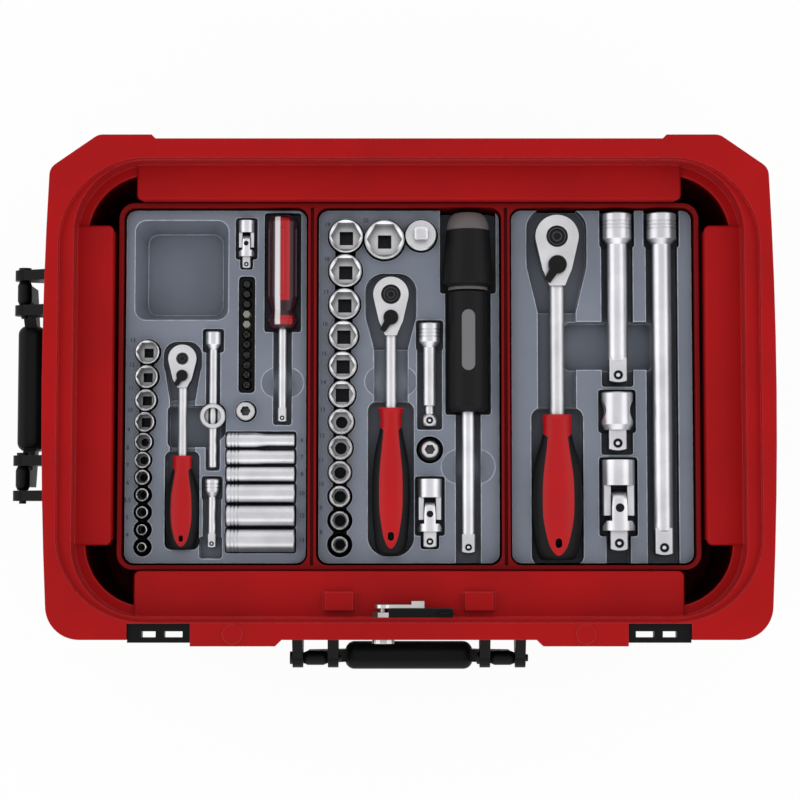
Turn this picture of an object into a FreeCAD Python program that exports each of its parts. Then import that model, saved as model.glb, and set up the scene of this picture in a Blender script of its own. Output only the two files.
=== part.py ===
"""A socket wrench set: three trays of drive tools in a lift-out carrier, in an open carrying case.

Millimetres. The origin is on the floor under the middle of the case, +Z is up, -Y is the front
edge with the lock and +X is the right. Inside a tray, x and y are measured from the tray's middle.
"""
import FreeCAD, Part
import math
import os
from collections import namedtuple

Vector = FreeCAD.Vector
ORIGIN = Vector(0, 0, 0)
X_AXIS = Vector(1, 0, 0)
Y_AXIS = Vector(0, 1, 0)
Z_AXIS = Vector(0, 0, 1)

# Clearances
RUNNING_GAP = 0.3
PRESS_GAP = 0.1
SEAT_GAP = 0.3
BAY_GAP = 1.5
CUT_OVER = 2.0
THIN = 0.02
ALONG = 0.9

# Case body
CASE_HEIGHT = 180.0
CASE_WALL = 4.0
CASE_FLOOR = 4.0
INNER_HALF_X = 239.6
INNER_FRONT_Y = -159.6
INNER_REAR_Y = 166.5
INNER_CORNER_R = 52.0
BASE_CHAMFER = 6.0
RIM_HEIGHT = 24.0
RIM_SKIN = 3.0
RIM_TOP_SKIN = 4.0
RIM_SIDE = 16.9
RIM_BOW = 4.0
RIM_REAR = 15.0
RIM_FRONT = 15.4
RIM_CORNER_R = 24.0
REAR_CHAMFER_X = 34.5
REAR_CHAMFER_Y = 24.0
EAR_STEP = 2.8
EAR_WIDTH = 38.0
EAR_CORNER_R = 10.0
LOBE_STEP = 4.5
LOBE_INNER_X = 90.0
STEP_WIDTH = 10.4
STEP_FRONT = 3.4
STEP_REAR = 1.0
STEP_DEPTH = 5.0
LOBE_DISC_X = 124.5
LOBE_DISC_OUT = 11.4
LOBE_DISC_R = 7.0
LOBE_DISC_H = 0.8
LEDGE_WIDTH = 7.0
LEDGE_HEIGHT = 5.0
SIDE_RIB_COUNT = 5
SIDE_RIB_WIDTH = 8.0
SIDE_RIB_DEPTH = 2.5
SIDE_RIB_DROP = 80.0
SIDE_RIB_BOTTOM = 22.0
SIDE_RIB_PITCH = 70.0

# Trays
TRAY_DROP = 38.0
TRAY_HEIGHT = 34.0
TRAY_WIDTH = 131.4
TRAY_DEPTH = 257.0
TRAY_SPACING = 9.0
TRAY_SHIFT_Y = 3.3
TRAY_CORNER_R = 7.0
TRAY_SKIN = 1.6
TOOL_SINK = 1.0
POCKET_CORNER_R = 4.0
BAR_POCKET_CORNER_R = 2.0
POCKET_ROOM = 2.0
WELL_ROOM = 1.0

# Tool carrier
CARRIER_WALL = 3.0
CARRIER_FLOOR = 3.0
CARRIER_SIDE_GAP = 3.0
CARRIER_END_GAP = 0.8
DIVIDER_GROOVE_WIDTH = 2.6
DIVIDER_GROOVE_DEPTH = 3.0

# Shelves round the carrier's well, part of the case
SHELF_THICKNESS = 3.0
SHELF_DROP = 22.0
SHELF_CORNER_R = 4.0
SHELF_ROUND = 2.0
LIP_REACH = 7.0
LIP_HEIGHT = 4.0
REAR_SHELF_HALF_X = 197.0
SIDE_SHELF_HALF_Y = 115.5
DIVIDER_DROP = 9.0
SHELF_BOSS_X = 50.0
SHELF_BOSS_SETBACK = 11.1
SHELF_BOSS_WIDTH = 20.0
SHELF_BOSS_DEPTH = 13.0
SHELF_BOSS_HEIGHT = 5.0
SHELF_BOSS_DRAFT = 2.0

# Carry handles, their brackets and pins
HANDLE_PIVOT_DROP = 42.0
HANDLE_PIVOT_SPAN = 135.0
HANDLE_REACH = 26.3
HANDLE_DROP = 36.0
SIDE_PAD_DEPTH = 10.8
SIDE_HANDLE_Y = 7.3
BRACKET_WIDTH = 33.0
BRACKET_HEIGHT = 34.0
BRACKET_BASE = 4.0
CHEEK_WIDTH = 7.5
CHEEK_NOSE_R = 7.0
HANDLE_PIN_R = 2.6
HANDLE_PIN_HEAD_R = 4.6
HANDLE_PIN_HEAD = 2.0
BOSS_R = 5.2
BOSS_TIP_R = 3.9
BOSS_TIP = 3.0
ARM_THICKNESS = 9.0
ARM_WIDTH = 12.0
ARM_STRAIGHT = 12.0
ARM_FOOT = 6.0
GRIP_LENGTH = 94.0
GRIP_DEPTH = 20.0
GRIP_HEIGHT = 24.0
GRIP_ROUND = 7.0

# Latch keepers
KEEPER_X = 176.8
KEEPER_WIDTH = 44.2
KEEPER_HEIGHT = 9.0
KEEPER_DROP = 3.0
KEEPER_FRONT = 13.5
KEEPER_WINDOWS = ((-10.5, 13.0), (7.0, 10.0))
KEEPER_WINDOW_DEPTH = 4.5
KEEPER_BAR = 3.5

# Cam lock
LOCK_X = -18.3
LOCK_DROP = 12.6
LOCK_BARREL_R = 4.5
LOCK_FLANGE_R = 8.0
LOCK_FLANGE = 3.0
LOCK_NUT_AF = 13.0
LOCK_NUT = 3.5
LOCK_STEM_R = 2.6
LOCK_TAIL = 9.0
CAM_THICKNESS = 2.5
CAM_LENGTH = 29.0
CAM_HEIGHT = 9.0
CAM_EYE_R = 6.0
LOCK_COVER_X = 8.5
LOCK_COVER_WIDTH = 45.0
LOCK_COVER_DEPTH = 7.0
LOCK_COVER_HEIGHT = 14.0
LOCK_COVER_RING_X = 25.0
LOCK_COVER_RING_R = 6.0
LOCK_COVER_RING_WIRE = 0.8

# Drive squares
QUARTER_DRIVE = 6.35
THREE_EIGHTHS_DRIVE = 9.53
HALF_DRIVE = 12.7
DRIVE_BORE_GAP = 0.3
SQUARE_CHAMFER = 0.8
DETENT_R_SHARE = 0.16
DETENT_RING_SHARE = 0.24
DETENT_SINK_SHARE = 0.7
DETENT_RING_DEPTH = 0.6
SQUARE_END_SHARE = 1.37

# Standing sockets: nut size, mouth diameter, drive end diameter
SOCKET_COLUMN_X = -58.3
SOCKET_GAP = 1.0
SOCKET_PROUD = 6.5
SOCKET_SLOT_SHARE = 0.62
SOCKET_LIP = 0.8
WAIST_LOW_SHARE = 0.42
WAIST_HIGH_SHARE = 0.58
DRIVE_HOLE_SHARE = 0.38
NUT_FLOOR_SHARE = 0.48
THROUGH_HOLE_SHARE = 0.9
SQUARE_THROUGH_SHARE = 1.45
QUARTER_SOCKET_LENGTH = 25.0
QUARTER_COLUMN_TOP = 33.3
QUARTER_SOCKETS = (
    (13.0, 17.5, 14.0),
    (12.0, 16.5, 14.0),
    (11.0, 15.5, 13.0),
    (10.0, 14.2, 12.0),
    (9.0, 12.7, 11.6),
    (8.0, 11.6, 11.6),
    (7.0, 10.8, 11.6),
    (6.0, 9.4, 11.6),
    (5.5, 8.7, 11.6),
    (5.0, 7.9, 11.6),
    (4.0, 7.0, 11.6),
)
THREE_EIGHTHS_SOCKET_LENGTH = 29.0
THREE_EIGHTHS_COLUMN_TOP = 121.7
THREE_EIGHTHS_SOCKETS = (
    (19.0, 24.8, 22.0),
    (18.0, 24.0, 21.5),
    (17.0, 22.7, 20.0),
    (16.0, 21.4, 19.0),
    (15.0, 20.3, 18.0),
    (14.0, 19.4, 17.5),
    (13.0, 18.4, 17.0),
    (12.0, 17.4, 16.4),
    (11.0, 16.4, 16.4),
    (10.0, 15.2, 16.4),
    (9.0, 13.4, 16.4),
    (8.0, 12.0, 16.4),
)
LARGE_SOCKET = (22.0, 29.0, 24.0)
LARGE_SOCKET_X = -17.8
LARGE_SOCKET_Y = 106.7

# Deep sockets lying down: nut size, mouth diameter, drive end diameter
DEEP_SOCKET_LENGTH = 49.7
DEEP_SOCKET_X = 8.1
DEEP_SOCKET_TOP = -33.6
DEEP_SOCKET_GAP = 0.7
DEEP_KNURL_START = 3.0
DEEP_SOCKETS = (
    (6.0, 9.6, 11.6),
    (7.0, 10.8, 11.6),
    (8.0, 11.8, 11.8),
    (10.0, 14.6, 14.6),
    (12.0, 16.4, 16.4),
    (13.0, 17.6, 17.6),
)

# Ratchets
Ratchet = namedtuple(
    "Ratchet",
    "drive x gear_y head_r head_thickness head_wall web lever_reach lever_seat_r neck shank_r "
    "grip_start grip_end grip_half_width grip_half_height collar_r hub_r gear_teeth tooth_depth "
    "square_length lever_r lever_height lever_tip pocket_half pocket_neck pocket_taper "
    "pocket_shank_half pocket_grip_half",
)
QUARTER_RATCHET = Ratchet(
    drive=QUARTER_DRIVE, x=-24.1, gear_y=19.7, head_r=10.2, head_thickness=11.0, head_wall=2.4,
    web=2.0, lever_reach=12.4, lever_seat_r=7.2, neck=21.0, shank_r=3.4, grip_start=70.5,
    grip_end=138.2, grip_half_width=12.0, grip_half_height=9.0, collar_r=6.9, hub_r=4.2,
    gear_teeth=30, tooth_depth=0.7, square_length=7.5, lever_r=4.1, lever_height=2.4,
    lever_tip=8.4, pocket_half=13.9, pocket_neck=14.0, pocket_taper=30.0, pocket_shank_half=9.3,
    pocket_grip_half=12.6,
)
THREE_EIGHTHS_RATCHET = Ratchet(
    drive=THREE_EIGHTHS_DRIVE, x=-13.1, gear_y=66.5, head_r=12.8, head_thickness=14.5,
    head_wall=2.8, web=2.4, lever_reach=17.0, lever_seat_r=9.0, neck=30.0, shank_r=4.1,
    grip_start=82.6, grip_end=187.6, grip_half_width=13.6, grip_half_height=10.6, collar_r=9.5,
    hub_r=6.9, gear_teeth=36, tooth_depth=0.9, square_length=11.0, lever_r=5.4, lever_height=2.8,
    lever_tip=11.6, pocket_half=18.6, pocket_neck=27.6, pocket_taper=39.6, pocket_shank_half=12.4,
    pocket_grip_half=16.8,
)
HALF_RATCHET = Ratchet(
    drive=HALF_DRIVE, x=-32.7, gear_y=108.7, head_r=15.7, head_thickness=18.0, head_wall=3.4,
    web=2.8, lever_reach=21.0, lever_seat_r=11.0, neck=36.0, shank_r=5.6, grip_start=129.7,
    grip_end=234.8, grip_half_width=18.2, grip_half_height=13.4, collar_r=10.4, hub_r=7.6,
    gear_teeth=40, tooth_depth=1.1, square_length=15.0, lever_r=6.7, lever_height=3.2,
    lever_tip=14.2, pocket_half=22.0, pocket_neck=32.7, pocket_taper=54.8, pocket_shank_half=13.9,
    pocket_grip_half=18.9,
)
HUB_RING_OUT_SHARE = 0.78
HUB_RING_IN_SHARE = 0.5
HUB_RING_DEPTH = 0.6
CLIP_THICKNESS = 1.2
CLIP_BITE = 0.7
CLIP_SETBACK = 0.5
PAWL_STANDOFF = 0.7
PAWL_ROCK = 4.0
LEVER_THROW = 32.0
LEVER_STEM_SHARE = 0.5
LEVER_FIN_SHARE = 0.55
LEVER_FIN_TAPER = 0.7
GEAR_BOSS_STEP = 1.0
PAWL_ROOM_SHARE = 0.8
PAWL_NOSE_SHARE = 0.6
PAWL_REACH_SHARE = 0.5
LANYARD_HOLE_SHARE = 0.24
LANYARD_HOLE_BACK = 0.115
# Grip outline: share of its length, share of its greatest half width
GRIP_SECTIONS = (
    (0.05, 0.57),
    (0.13, 0.58),
    (0.25, 0.76),
    (0.38, 0.93),
    (0.55, 1.0),
    (0.72, 0.99),
    (0.87, 0.90),
    (0.96, 0.79),
    (1.0, 0.62),
)
# Edge of the red inlay from the collar back to its rounded tip, in the same shares
INLAY_EDGE = (
    (0.155, 0.40),
    (0.30, 0.50),
    (0.42, 0.59),
    (0.59, 0.625),
    (0.72, 0.595),
    (0.845, 0.455),
    (0.93, 0.27),
)
INLAY_TIP = 0.97
INLAY_COLLAR = 0.075
INLAY_OVER = 0.02
COLLAR_FLAT = 0.96
GRIP_LEAST_HEIGHT = 0.8
GRIP_MOST_HEIGHT = 0.98
LANYARD_HOLE_LONG = 1.4
HEAD_POCKET_ROUND_SHARE = 0.7
SQUARE_WELL_SHARE = 0.8
SHANK_ROOM = 1.2
TAPER_OVERLAP = 12.0
GRIP_POCKET_ROUND_SHARE = 0.4
GRIP_END_ROUND_SHARE = 0.85
GRIP_END_ROOM = 2.5

# Universal joints
Joint = namedtuple("Joint", "drive x pin_y radius socket_length shoulder square_length")
QUARTER_JOINT = Joint(QUARTER_DRIVE, 21.9, 104.0, 6.0, 17.1, 9.4, 8.8)
THREE_EIGHTHS_JOINT = Joint(THREE_EIGHTHS_DRIVE, 15.1, -93.0, 8.9, 25.4, 12.6, 12.0)
HALF_JOINT = Joint(HALF_DRIVE, 11.4, -88.5, 12.0, 34.7, 16.4, 15.5)
YOKE_SLOT_SHARE = 0.5
YOKE_EAR_SHARE = 0.46
YOKE_PIN_SHARE = 0.24
SOCKET_THROAT_SHARE = 1.36
SOCKET_EAR_END_SHARE = 0.46
DRIVE_THROAT_SHARE = 0.78
DRIVE_EAR_END_SHARE = 1.05
EAR_SPHERE_SHARE = 1.14
JOINT_SWING = 4.0
FLARE_START_SHARE = 0.3
FLARE_END_SHARE = 1.15
JOINT_HOLE_SHARE = 0.75
JOINT_PIN_REACH_SHARE = 0.96

# Extension bars
Extension = namedtuple("Extension", "drive x top length socket_r socket_length shaft_r square_length")
QUARTER_EXTENSION = Extension(QUARTER_DRIVE, -2.3, -67.5, 50.0, 5.7, 13.2, 3.1, 8.0)
HALF_SHORT_EXTENSION = Extension(HALF_DRIVE, 11.4, 126.4, 125.0, 10.8, 23.0, 7.7, 16.5)
HALF_LONG_EXTENSION = Extension(HALF_DRIVE, 43.9, 126.4, 250.0, 11.0, 23.0, 7.4, 18.0)
WOBBLE_EXTENSION = Extension(THREE_EIGHTHS_DRIVE, 15.0, 46.1, 76.0, 8.0, 18.0, 5.0, 15.0)
COLLAR_TAPER = 4.0
SHAFT_NECK = 2.5
WOBBLE_WAIST_SHARE = 0.72
WOBBLE_BALL_SHARE = 0.64
BAR_HOLE_SHARE = 0.6
KNURL_START_SHARE = 0.25
SQUARE_ROOM_SHARE = 0.75
KNURL_GROOVES = 3
KNURL_PITCH = 2.6
KNURL_DEPTH = 0.35
KNURL_WIDTH = 0.9

# Quarter inch bar with its sliding T piece
TEE_BAR_X = -2.0
TEE_BAR_TOP = 39.8
TEE_BAR_LENGTH = 99.4
TEE_BAR_SOCKET_R = 5.8
TEE_BAR_SOCKET = 13.4
TEE_BAR_R = 3.2
TEE_SLIDER_Y = -22.0
TEE_SLIDER_R = 9.2
TEE_SLIDER_HEIGHT = 11.0
TEE_SLIDER_SQUARE = 8.0
TEE_SLIDER_TRAVEL = 8.0
TEE_SLIDER_DISH_R = 6.2
TEE_SLIDER_DISH = 4.4
TEE_SLIDER_POCKET_ROUND = 7.4

# Quarter inch spinner handle
SPINNER_X = 48.4
SPINNER_TOP = 124.9
SPINNER_LENGTH = 83.5
SPINNER_R = 11.2
SPINNER_NECK_R = 8.4
SPINNER_FLARE_R = 11.4
SPINNER_NECK = 70.0
SPINNER_FLARE = 77.0
SPINNER_END_ROUND = 5.0
SPINNER_NOSE_STEP = 2.5
SPINNER_TIP_STEP = 1.7
SPINNER_FLUTES = 6
SPINNER_FLUTE_R = 2.2
SPINNER_FLUTE_START = 10.0
SPINNER_FLUTE_END = 60.0
SPINNER_SHAFT_R = 3.3
SPINNER_SHAFT_END = 151.3
SPINNER_TANG = 40.0

# Upright bits in their holder strip
BIT_X = 22.3
BIT_FIRST_Y = 74.3
BIT_PITCH = 7.35
BIT_AF = 5.5
BIT_LENGTH = 25.0
BIT_TIP = 9.0
BIT_TIP_R = 2.2
BIT_HEX_TIP_AF = 4.8
BIT_BLADE = 1.0
BIT_SLOT = 0.9
BIT_KINDS = ("round", "round", "round", "hex", "hex", "cross", "cross", "flat", "flat", "cross", "cross")
BIT_PROUD = 3.0
BIT_HOLDER_WIDTH = 11.4
BIT_HOLDER_END = 5.6
BIT_HOLDER_DROP = 2.5
BIT_HOLDER_FLOOR = 1.2

# Bit adaptor, bit coupler and step adaptor, all standing
BIT_ADAPTOR_X = 22.0
BIT_ADAPTOR_Y = -18.5
BIT_ADAPTOR_R = 6.8
BIT_ADAPTOR_LENGTH = 24.0
BIT_ADAPTOR_DRIVE_DEPTH = 8.4
BIT_HOLE_DEPTH = 12.0
BIT_COUPLER_X = 15.1
BIT_COUPLER_Y = -46.4
BIT_COUPLER_R = 8.9
BIT_COUPLER_NOSE_R = 6.1
BIT_COUPLER_LENGTH = 27.0
BIT_COUPLER_STEP = 16.2
BIT_COUPLER_DRIVE_DEPTH = 10.8
BIT_HEX_AF = 6.35
STEP_ADAPTOR_X = 8.8
STEP_ADAPTOR_Y = 109.9
STEP_ADAPTOR_R = 11.4
STEP_ADAPTOR_BODY = 24.0
STEP_ADAPTOR_DRIVE_DEPTH = 14.4
STEP_ADAPTOR_SQUARE = 11.0

# Three eighths drive handle with a turning palm cap
HANDLE_X = 43.0
HANDLE_TOP = 126.4
DOME_LENGTH = 12.8
DOME_R = 15.5
DOME_TIP_R = 8.5
DOME_STEPS = 7
CAP_TOP_R = 15.8
CAP_R = 18.4
CAP_LENGTH = 41.7
CAP_ROUND = 2.5
RING_R = 14.4
RING_LENGTH = 2.4
GRIP_R = 14.6
DRIVE_GRIP_LENGTH = 88.5
GRIP_END_ROUND = 3.0
HANDLE_SHAFT_R = 5.0
HANDLE_SHAFT_LENGTH = 91.0
HANDLE_SQUARE = 11.8
SPINDLE_R = 6.0
SPINDLE_HEAD_R = 8.5
SPINDLE_HEAD = 4.0
SPINDLE_REACH = 30.0
BADGE_LENGTH = 45.0
BADGE_WIDTH = 10.4
BADGE_DEPTH = 0.8
BADGE_SETBACK = 7.4
HANDLE_TANG = 44.0

# Half inch sliding T head
TEE_HEAD_X = 10.8
TEE_HEAD_TOP = -4.6
TEE_HEAD_LENGTH = 27.5
TEE_HEAD_R = 11.7
TEE_HEAD_BORE_R = 7.9
TEE_HEAD_BORE_Y = 13.4
TEE_HEAD_SQUARE = 16.0

# Tray bin and finger rooms: x from, x to, y from, y to, depth
BIN = (-59.3, 8.7, 48.3, 121.3, 30.0)
BIN_CORNER_R = 8.0
BIN_DRAFT = 6.0
QUARTER_FINGER_ROOM = (-35.0, 2.5, -44.6, -14.2, 16.0)
EXTENSION_FINGER_ROOM = (-11.5, 5.2, -125.2, -109.2, 7.0)
HALF_FINGER_ROOM = (-27.0, 37.6, 11.8, 47.0, 17.0)
# Finger dimples on both sides of a tool: y, radius, how far from the tool's axis
SPINNER_DIMPLES = (2.4, 10.8, 4.7)
THREE_EIGHTHS_DIMPLES = (3.4, 10.8, 8.3)
HANDLE_DIMPLES = (-58.6, 12.4, 7.2)
DIMPLE_DEPTH = 5.5

# Worked out from the sizes above
WALL_HALF_X = INNER_HALF_X + CASE_WALL
WALL_FRONT_Y = INNER_FRONT_Y - CASE_WALL
WALL_REAR_Y = INNER_REAR_Y + CASE_WALL
WALL_CORNER_R = INNER_CORNER_R + CASE_WALL
RIM_HALF_X = INNER_HALF_X + RIM_SIDE
RIM_FRONT_Y = INNER_FRONT_Y - RIM_FRONT
RIM_REAR_Y = INNER_REAR_Y + RIM_REAR
RIM_BOTTOM = CASE_HEIGHT - RIM_HEIGHT
SIDE_RIB_TOP = CASE_HEIGHT - SIDE_RIB_DROP
SHELF_TOP = CASE_HEIGHT - SHELF_DROP
SHELF_BOSS_Y = INNER_FRONT_Y + SHELF_BOSS_SETBACK
LOBE_DISC_Y = INNER_FRONT_Y - LOBE_DISC_OUT
HANDLE_PIVOT_Z = CASE_HEIGHT - HANDLE_PIVOT_DROP
LOCK_Z = CASE_HEIGHT - LOCK_DROP
TRAY_TOP = CASE_HEIGHT - TRAY_DROP
TRAY_PITCH = TRAY_WIDTH + TRAY_SPACING
TRAY_MID_Y = (INNER_FRONT_Y + INNER_REAR_Y) / 2 + TRAY_SHIFT_Y
TRAY_BOTTOM = TRAY_TOP - TRAY_HEIGHT
TRAY_HALF_X = TRAY_WIDTH / 2
TRAY_HALF_Y = TRAY_DEPTH / 2
OPEN_END = TRAY_HALF_Y + CUT_OVER
BAY_HALF_X = TRAY_PITCH + TRAY_HALF_X + BAY_GAP
BAY_HALF_Y = TRAY_HALF_Y + BAY_GAP
CARRIER_BOTTOM = TRAY_BOTTOM - CARRIER_FLOOR
LEDGE_TOP = SHELF_TOP - SHELF_THICKNESS
FRAME_TOP = SHELF_TOP - DIVIDER_DROP
SHELF_INNER_X = BAY_HALF_X + CARRIER_WALL + CARRIER_SIDE_GAP
SHELF_INNER_Y = BAY_HALF_Y + CARRIER_WALL + CARRIER_END_GAP
LIP_BOTTOM = CARRIER_BOTTOM - LIP_HEIGHT
TOOL_Z = TRAY_TOP - TOOL_SINK
KEEPER_TOP = CASE_HEIGHT - KEEPER_DROP
SIDE_BASE_X = -WALL_HALF_X - SIDE_PAD_DEPTH
PIVOT_HALF_SPAN = HANDLE_PIVOT_SPAN / 2
BOSS_LENGTH = BRACKET_WIDTH - 2 * CHEEK_WIDTH - 2 * RUNNING_GAP


def block(x0, x1, y0, y1, z0, z1):
    """A box between two corners."""
    return Part.makeBox(x1 - x0, y1 - y0, z1 - z0, Vector(x0, y0, z0))


def rounded_block(x0, x1, y0, y1, z0, z1, radius):
    """A box with rounded upright edges."""
    r = min(radius, (x1 - x0) / 2 - THIN, (y1 - y0) / 2 - THIN)
    solid = block(x0, x1, y0, y1, z0, z1)
    upright = [e for e in solid.Edges if abs(e.tangentAt(e.FirstParameter).z) > ALONG]
    return solid.makeFillet(r, upright)


def rounded_outline(x0, x1, y0, y1, z, radius):
    """A flat loop with rounded corners."""
    top = rounded_block(x0, x1, y0, y1, z - CUT_OVER, z, radius)
    face = max(top.Faces, key=lambda f: f.CenterOfMass.z)
    return face.OuterWire


def disc(x, y, radius, z0, z1):
    """An upright cylinder."""
    return Part.makeCylinder(radius, z1 - z0, Vector(x, y, z0), Z_AXIS)


def rod(radius, start, end):
    """A round rod between two points."""
    start = Vector(*start)
    along = Vector(*end) - start
    return Part.makeCylinder(radius, along.Length, start, along)


def prism(points, height):
    """A flat outline of straight edges, pushed through a height vector."""
    corners = [Vector(*p) for p in points]
    return Part.Face(Part.makePolygon(corners + corners[:1])).extrude(height)


def turned(profile, axis):
    """A solid of revolution about an axis through the origin: points are (along, radius)."""
    across = Z_AXIS if abs(axis.x) > ALONG else X_AXIS
    points = [axis * along + across * radius for along, radius in profile]
    first = axis * profile[0][0]
    last = axis * profile[-1][0]
    loop = [first] + points + [last]
    face = Part.Face(Part.makePolygon(loop + loop[:1]))
    return face.revolve(ORIGIN, axis, 360)


def hexagon(across_flats, z0, z1):
    """An upright hexagonal bar about the Z axis."""
    corner = across_flats / math.sqrt(3)
    angles = [math.radians(60 * i) for i in range(6)]
    points = [(corner * math.cos(a), corner * math.sin(a), z0) for a in angles]
    return prism(points, Z_AXIS * (z1 - z0))


def square_bar(side, y0, y1):
    """A square bar along Y, with chamfered long edges."""
    half = side / 2
    solid = block(-half, half, y0, y1, -half, half)
    long_edges = [e for e in solid.Edges if abs(e.tangentAt(e.FirstParameter).y) > ALONG]
    return solid.makeChamfer(SQUARE_CHAMFER, long_edges)


def detent(side, y):
    """The spring ball that stands a little out of the upper face of a lying drive square."""
    radius = side * DETENT_R_SHARE
    return Part.makeSphere(radius, Vector(0, y, side / 2 - radius * DETENT_SINK_SHARE))


def drive_square(side, y0, y1):
    """The driving end of a tool: a square with its spring ball, pointing along -Y."""
    bulge = side * SQUARE_END_SHARE
    bar = square_bar(side, y0 - CUT_OVER, y1).common(Part.makeSphere(bulge, Vector(0, y0 + bulge, 0)))
    y = y0 + side / 2
    top = side / 2
    bar = bar.cut(disc(0, y, side * DETENT_RING_SHARE, top - DETENT_RING_DEPTH, top + CUT_OVER))
    return bar.fuse(detent(side, y))


def drive_bore(side, y0, y1):
    """The square hole that takes a drive square, along Y."""
    half = (side + DRIVE_BORE_GAP) / 2
    return block(-half, half, y0, y1, -half, half)


def joined(shapes):
    """Overlapping shapes as one clean solid."""
    return shapes[0].multiFuse(shapes[1:]).removeSplitter()


def moved(shape, x, y, z):
    """A copy of a shape at a new place."""
    copy = shape.copy()
    copy.translate(Vector(x, y, z))
    return copy


def turned_about(shape, axis, degrees, centre=ORIGIN):
    """A turned copy of a shape."""
    copy = shape.copy()
    copy.rotate(centre, axis, degrees)
    return copy


def case_outline():
    """The rim seen from above: bowed sides, cut rear corners with ears, round front corners."""
    side = RIM_HALF_X
    rear = RIM_REAR_Y
    ear = rear + EAR_STEP
    ear_outer = side - REAR_CHAMFER_X
    ear_inner = ear_outer - EAR_WIDTH
    cut = ear - REAR_CHAMFER_Y
    front = RIM_FRONT_Y
    lobe = front - LOBE_STEP
    corner_y = front + RIM_CORNER_R
    corner_x = side - RIM_CORNER_R
    lobe_outer = KEEPER_X - KEEPER_WIDTH / 2
    diagonal = RIM_CORNER_R * (1 - math.sqrt(0.5))
    edges = []

    def line(a, b):
        edges.append(Part.LineSegment(Vector(*a, 0), Vector(*b, 0)).toShape())

    def arc(a, b, c):
        edges.append(Part.Arc(Vector(*a, 0), Vector(*b, 0), Vector(*c, 0)).toShape())

    right = [
        (ear_inner - EAR_STEP, rear),
        (ear_inner, ear),
        (ear_outer, ear),
        (side, cut),
    ]
    front_points = [
        (corner_x, front),
        (lobe_outer, front),
        (lobe_outer, lobe),
        (LOBE_INNER_X + LOBE_STEP, lobe),
        (LOBE_INNER_X, front),
    ]
    for sign in (1, -1):
        path = [(sign * x, y) for x, y in right]
        for a, b in zip(path, path[1:]):
            line(a, b)
        arc(path[-1], (sign * (side + RIM_BOW), (cut + corner_y) / 2), (sign * side, corner_y))
        arc(
            (sign * side, corner_y),
            (sign * (side - diagonal), front + diagonal),
            (sign * corner_x, front),
        )
        low = [(sign * x, y) for x, y in front_points]
        for a, b in zip(low, low[1:]):
            line(a, b)
    line((-right[0][0], rear), (right[0][0], rear))
    line((-LOBE_INNER_X, front), (LOBE_INNER_X, front))
    return Part.Face(Part.Wire(Part.__sortEdges__(edges)))


def ear_edges(rim):
    """The upright edges at both ends of the two cut rear corners."""
    low = RIM_REAR_Y + EAR_STEP - REAR_CHAMFER_Y - THIN
    far = RIM_HALF_X - REAR_CHAMFER_X - THIN
    return [
        e for e in rim.Edges
        if e.BoundBox.ZLength > THIN and e.CenterOfMass.y > low and abs(e.CenterOfMass.x) > far
    ]


def case_body():
    """The open moulded case: floor, wall, hollow rim with its step, and the shelves round the carrier."""
    outline = case_outline()
    wall = rounded_block(
        -WALL_HALF_X, WALL_HALF_X, WALL_FRONT_Y, WALL_REAR_Y, 0, CASE_HEIGHT, WALL_CORNER_R
    )
    bottom = [e for e in wall.Edges if e.BoundBox.ZMax < CASE_FLOOR / 2]
    wall = wall.makeChamfer(BASE_CHAMFER, bottom)
    rim = moved(outline.extrude(Z_AXIS * RIM_HEIGHT), 0, 0, RIM_BOTTOM)
    rim = rim.makeFillet(EAR_CORNER_R, ear_edges(rim))
    hollow = outline.makeOffset2D(-RIM_SKIN).extrude(Z_AXIS * (RIM_HEIGHT - STEP_DEPTH - RIM_TOP_SKIN))
    hollow = moved(hollow, 0, 0, RIM_BOTTOM).cut(wall)
    pads = [side_handle_pad(sign) for sign in (1, -1)]
    body = joined([wall, rim.cut(hollow)] + pads)
    inside = rounded_block(
        -INNER_HALF_X, INNER_HALF_X, INNER_FRONT_Y, INNER_REAR_Y,
        CASE_FLOOR, CASE_HEIGHT + CUT_OVER, INNER_CORNER_R,
    )
    step = rounded_block(
        -INNER_HALF_X - STEP_WIDTH, INNER_HALF_X + STEP_WIDTH,
        INNER_FRONT_Y - STEP_FRONT, INNER_REAR_Y + STEP_REAR,
        CASE_HEIGHT - STEP_DEPTH, CASE_HEIGHT + CUT_OVER, INNER_CORNER_R + STEP_WIDTH,
    )
    body = body.cut(inside).cut(step)
    body = joined([body, carrier_ledge()] + shelves() + shelf_bosses() + side_ribs() + lobe_discs())
    for sign in (1, -1):
        body = body.cut(keeper_room(sign))
    return body.cut(rod(LOCK_BARREL_R + PRESS_GAP, (LOCK_X, RIM_FRONT_Y - CUT_OVER, LOCK_Z),
                        (LOCK_X, INNER_FRONT_Y + CUT_OVER, LOCK_Z)))


def carrier_ledge():
    """The ledge round the inside of the wall, under the shelves."""
    low = LEDGE_TOP - LEDGE_HEIGHT
    outer = rounded_block(
        -INNER_HALF_X - CASE_WALL / 2, INNER_HALF_X + CASE_WALL / 2,
        INNER_FRONT_Y - CASE_WALL / 2, INNER_REAR_Y + CASE_WALL / 2,
        low, LEDGE_TOP, INNER_CORNER_R + CASE_WALL / 2,
    )
    return outer.cut(rounded_block(
        -INNER_HALF_X + LEDGE_WIDTH, INNER_HALF_X - LEDGE_WIDTH,
        INNER_FRONT_Y + LEDGE_WIDTH, INNER_REAR_Y - LEDGE_WIDTH,
        low - CUT_OVER, LEDGE_TOP + CUT_OVER, INNER_CORNER_R - LEDGE_WIDTH,
    ))


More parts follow.
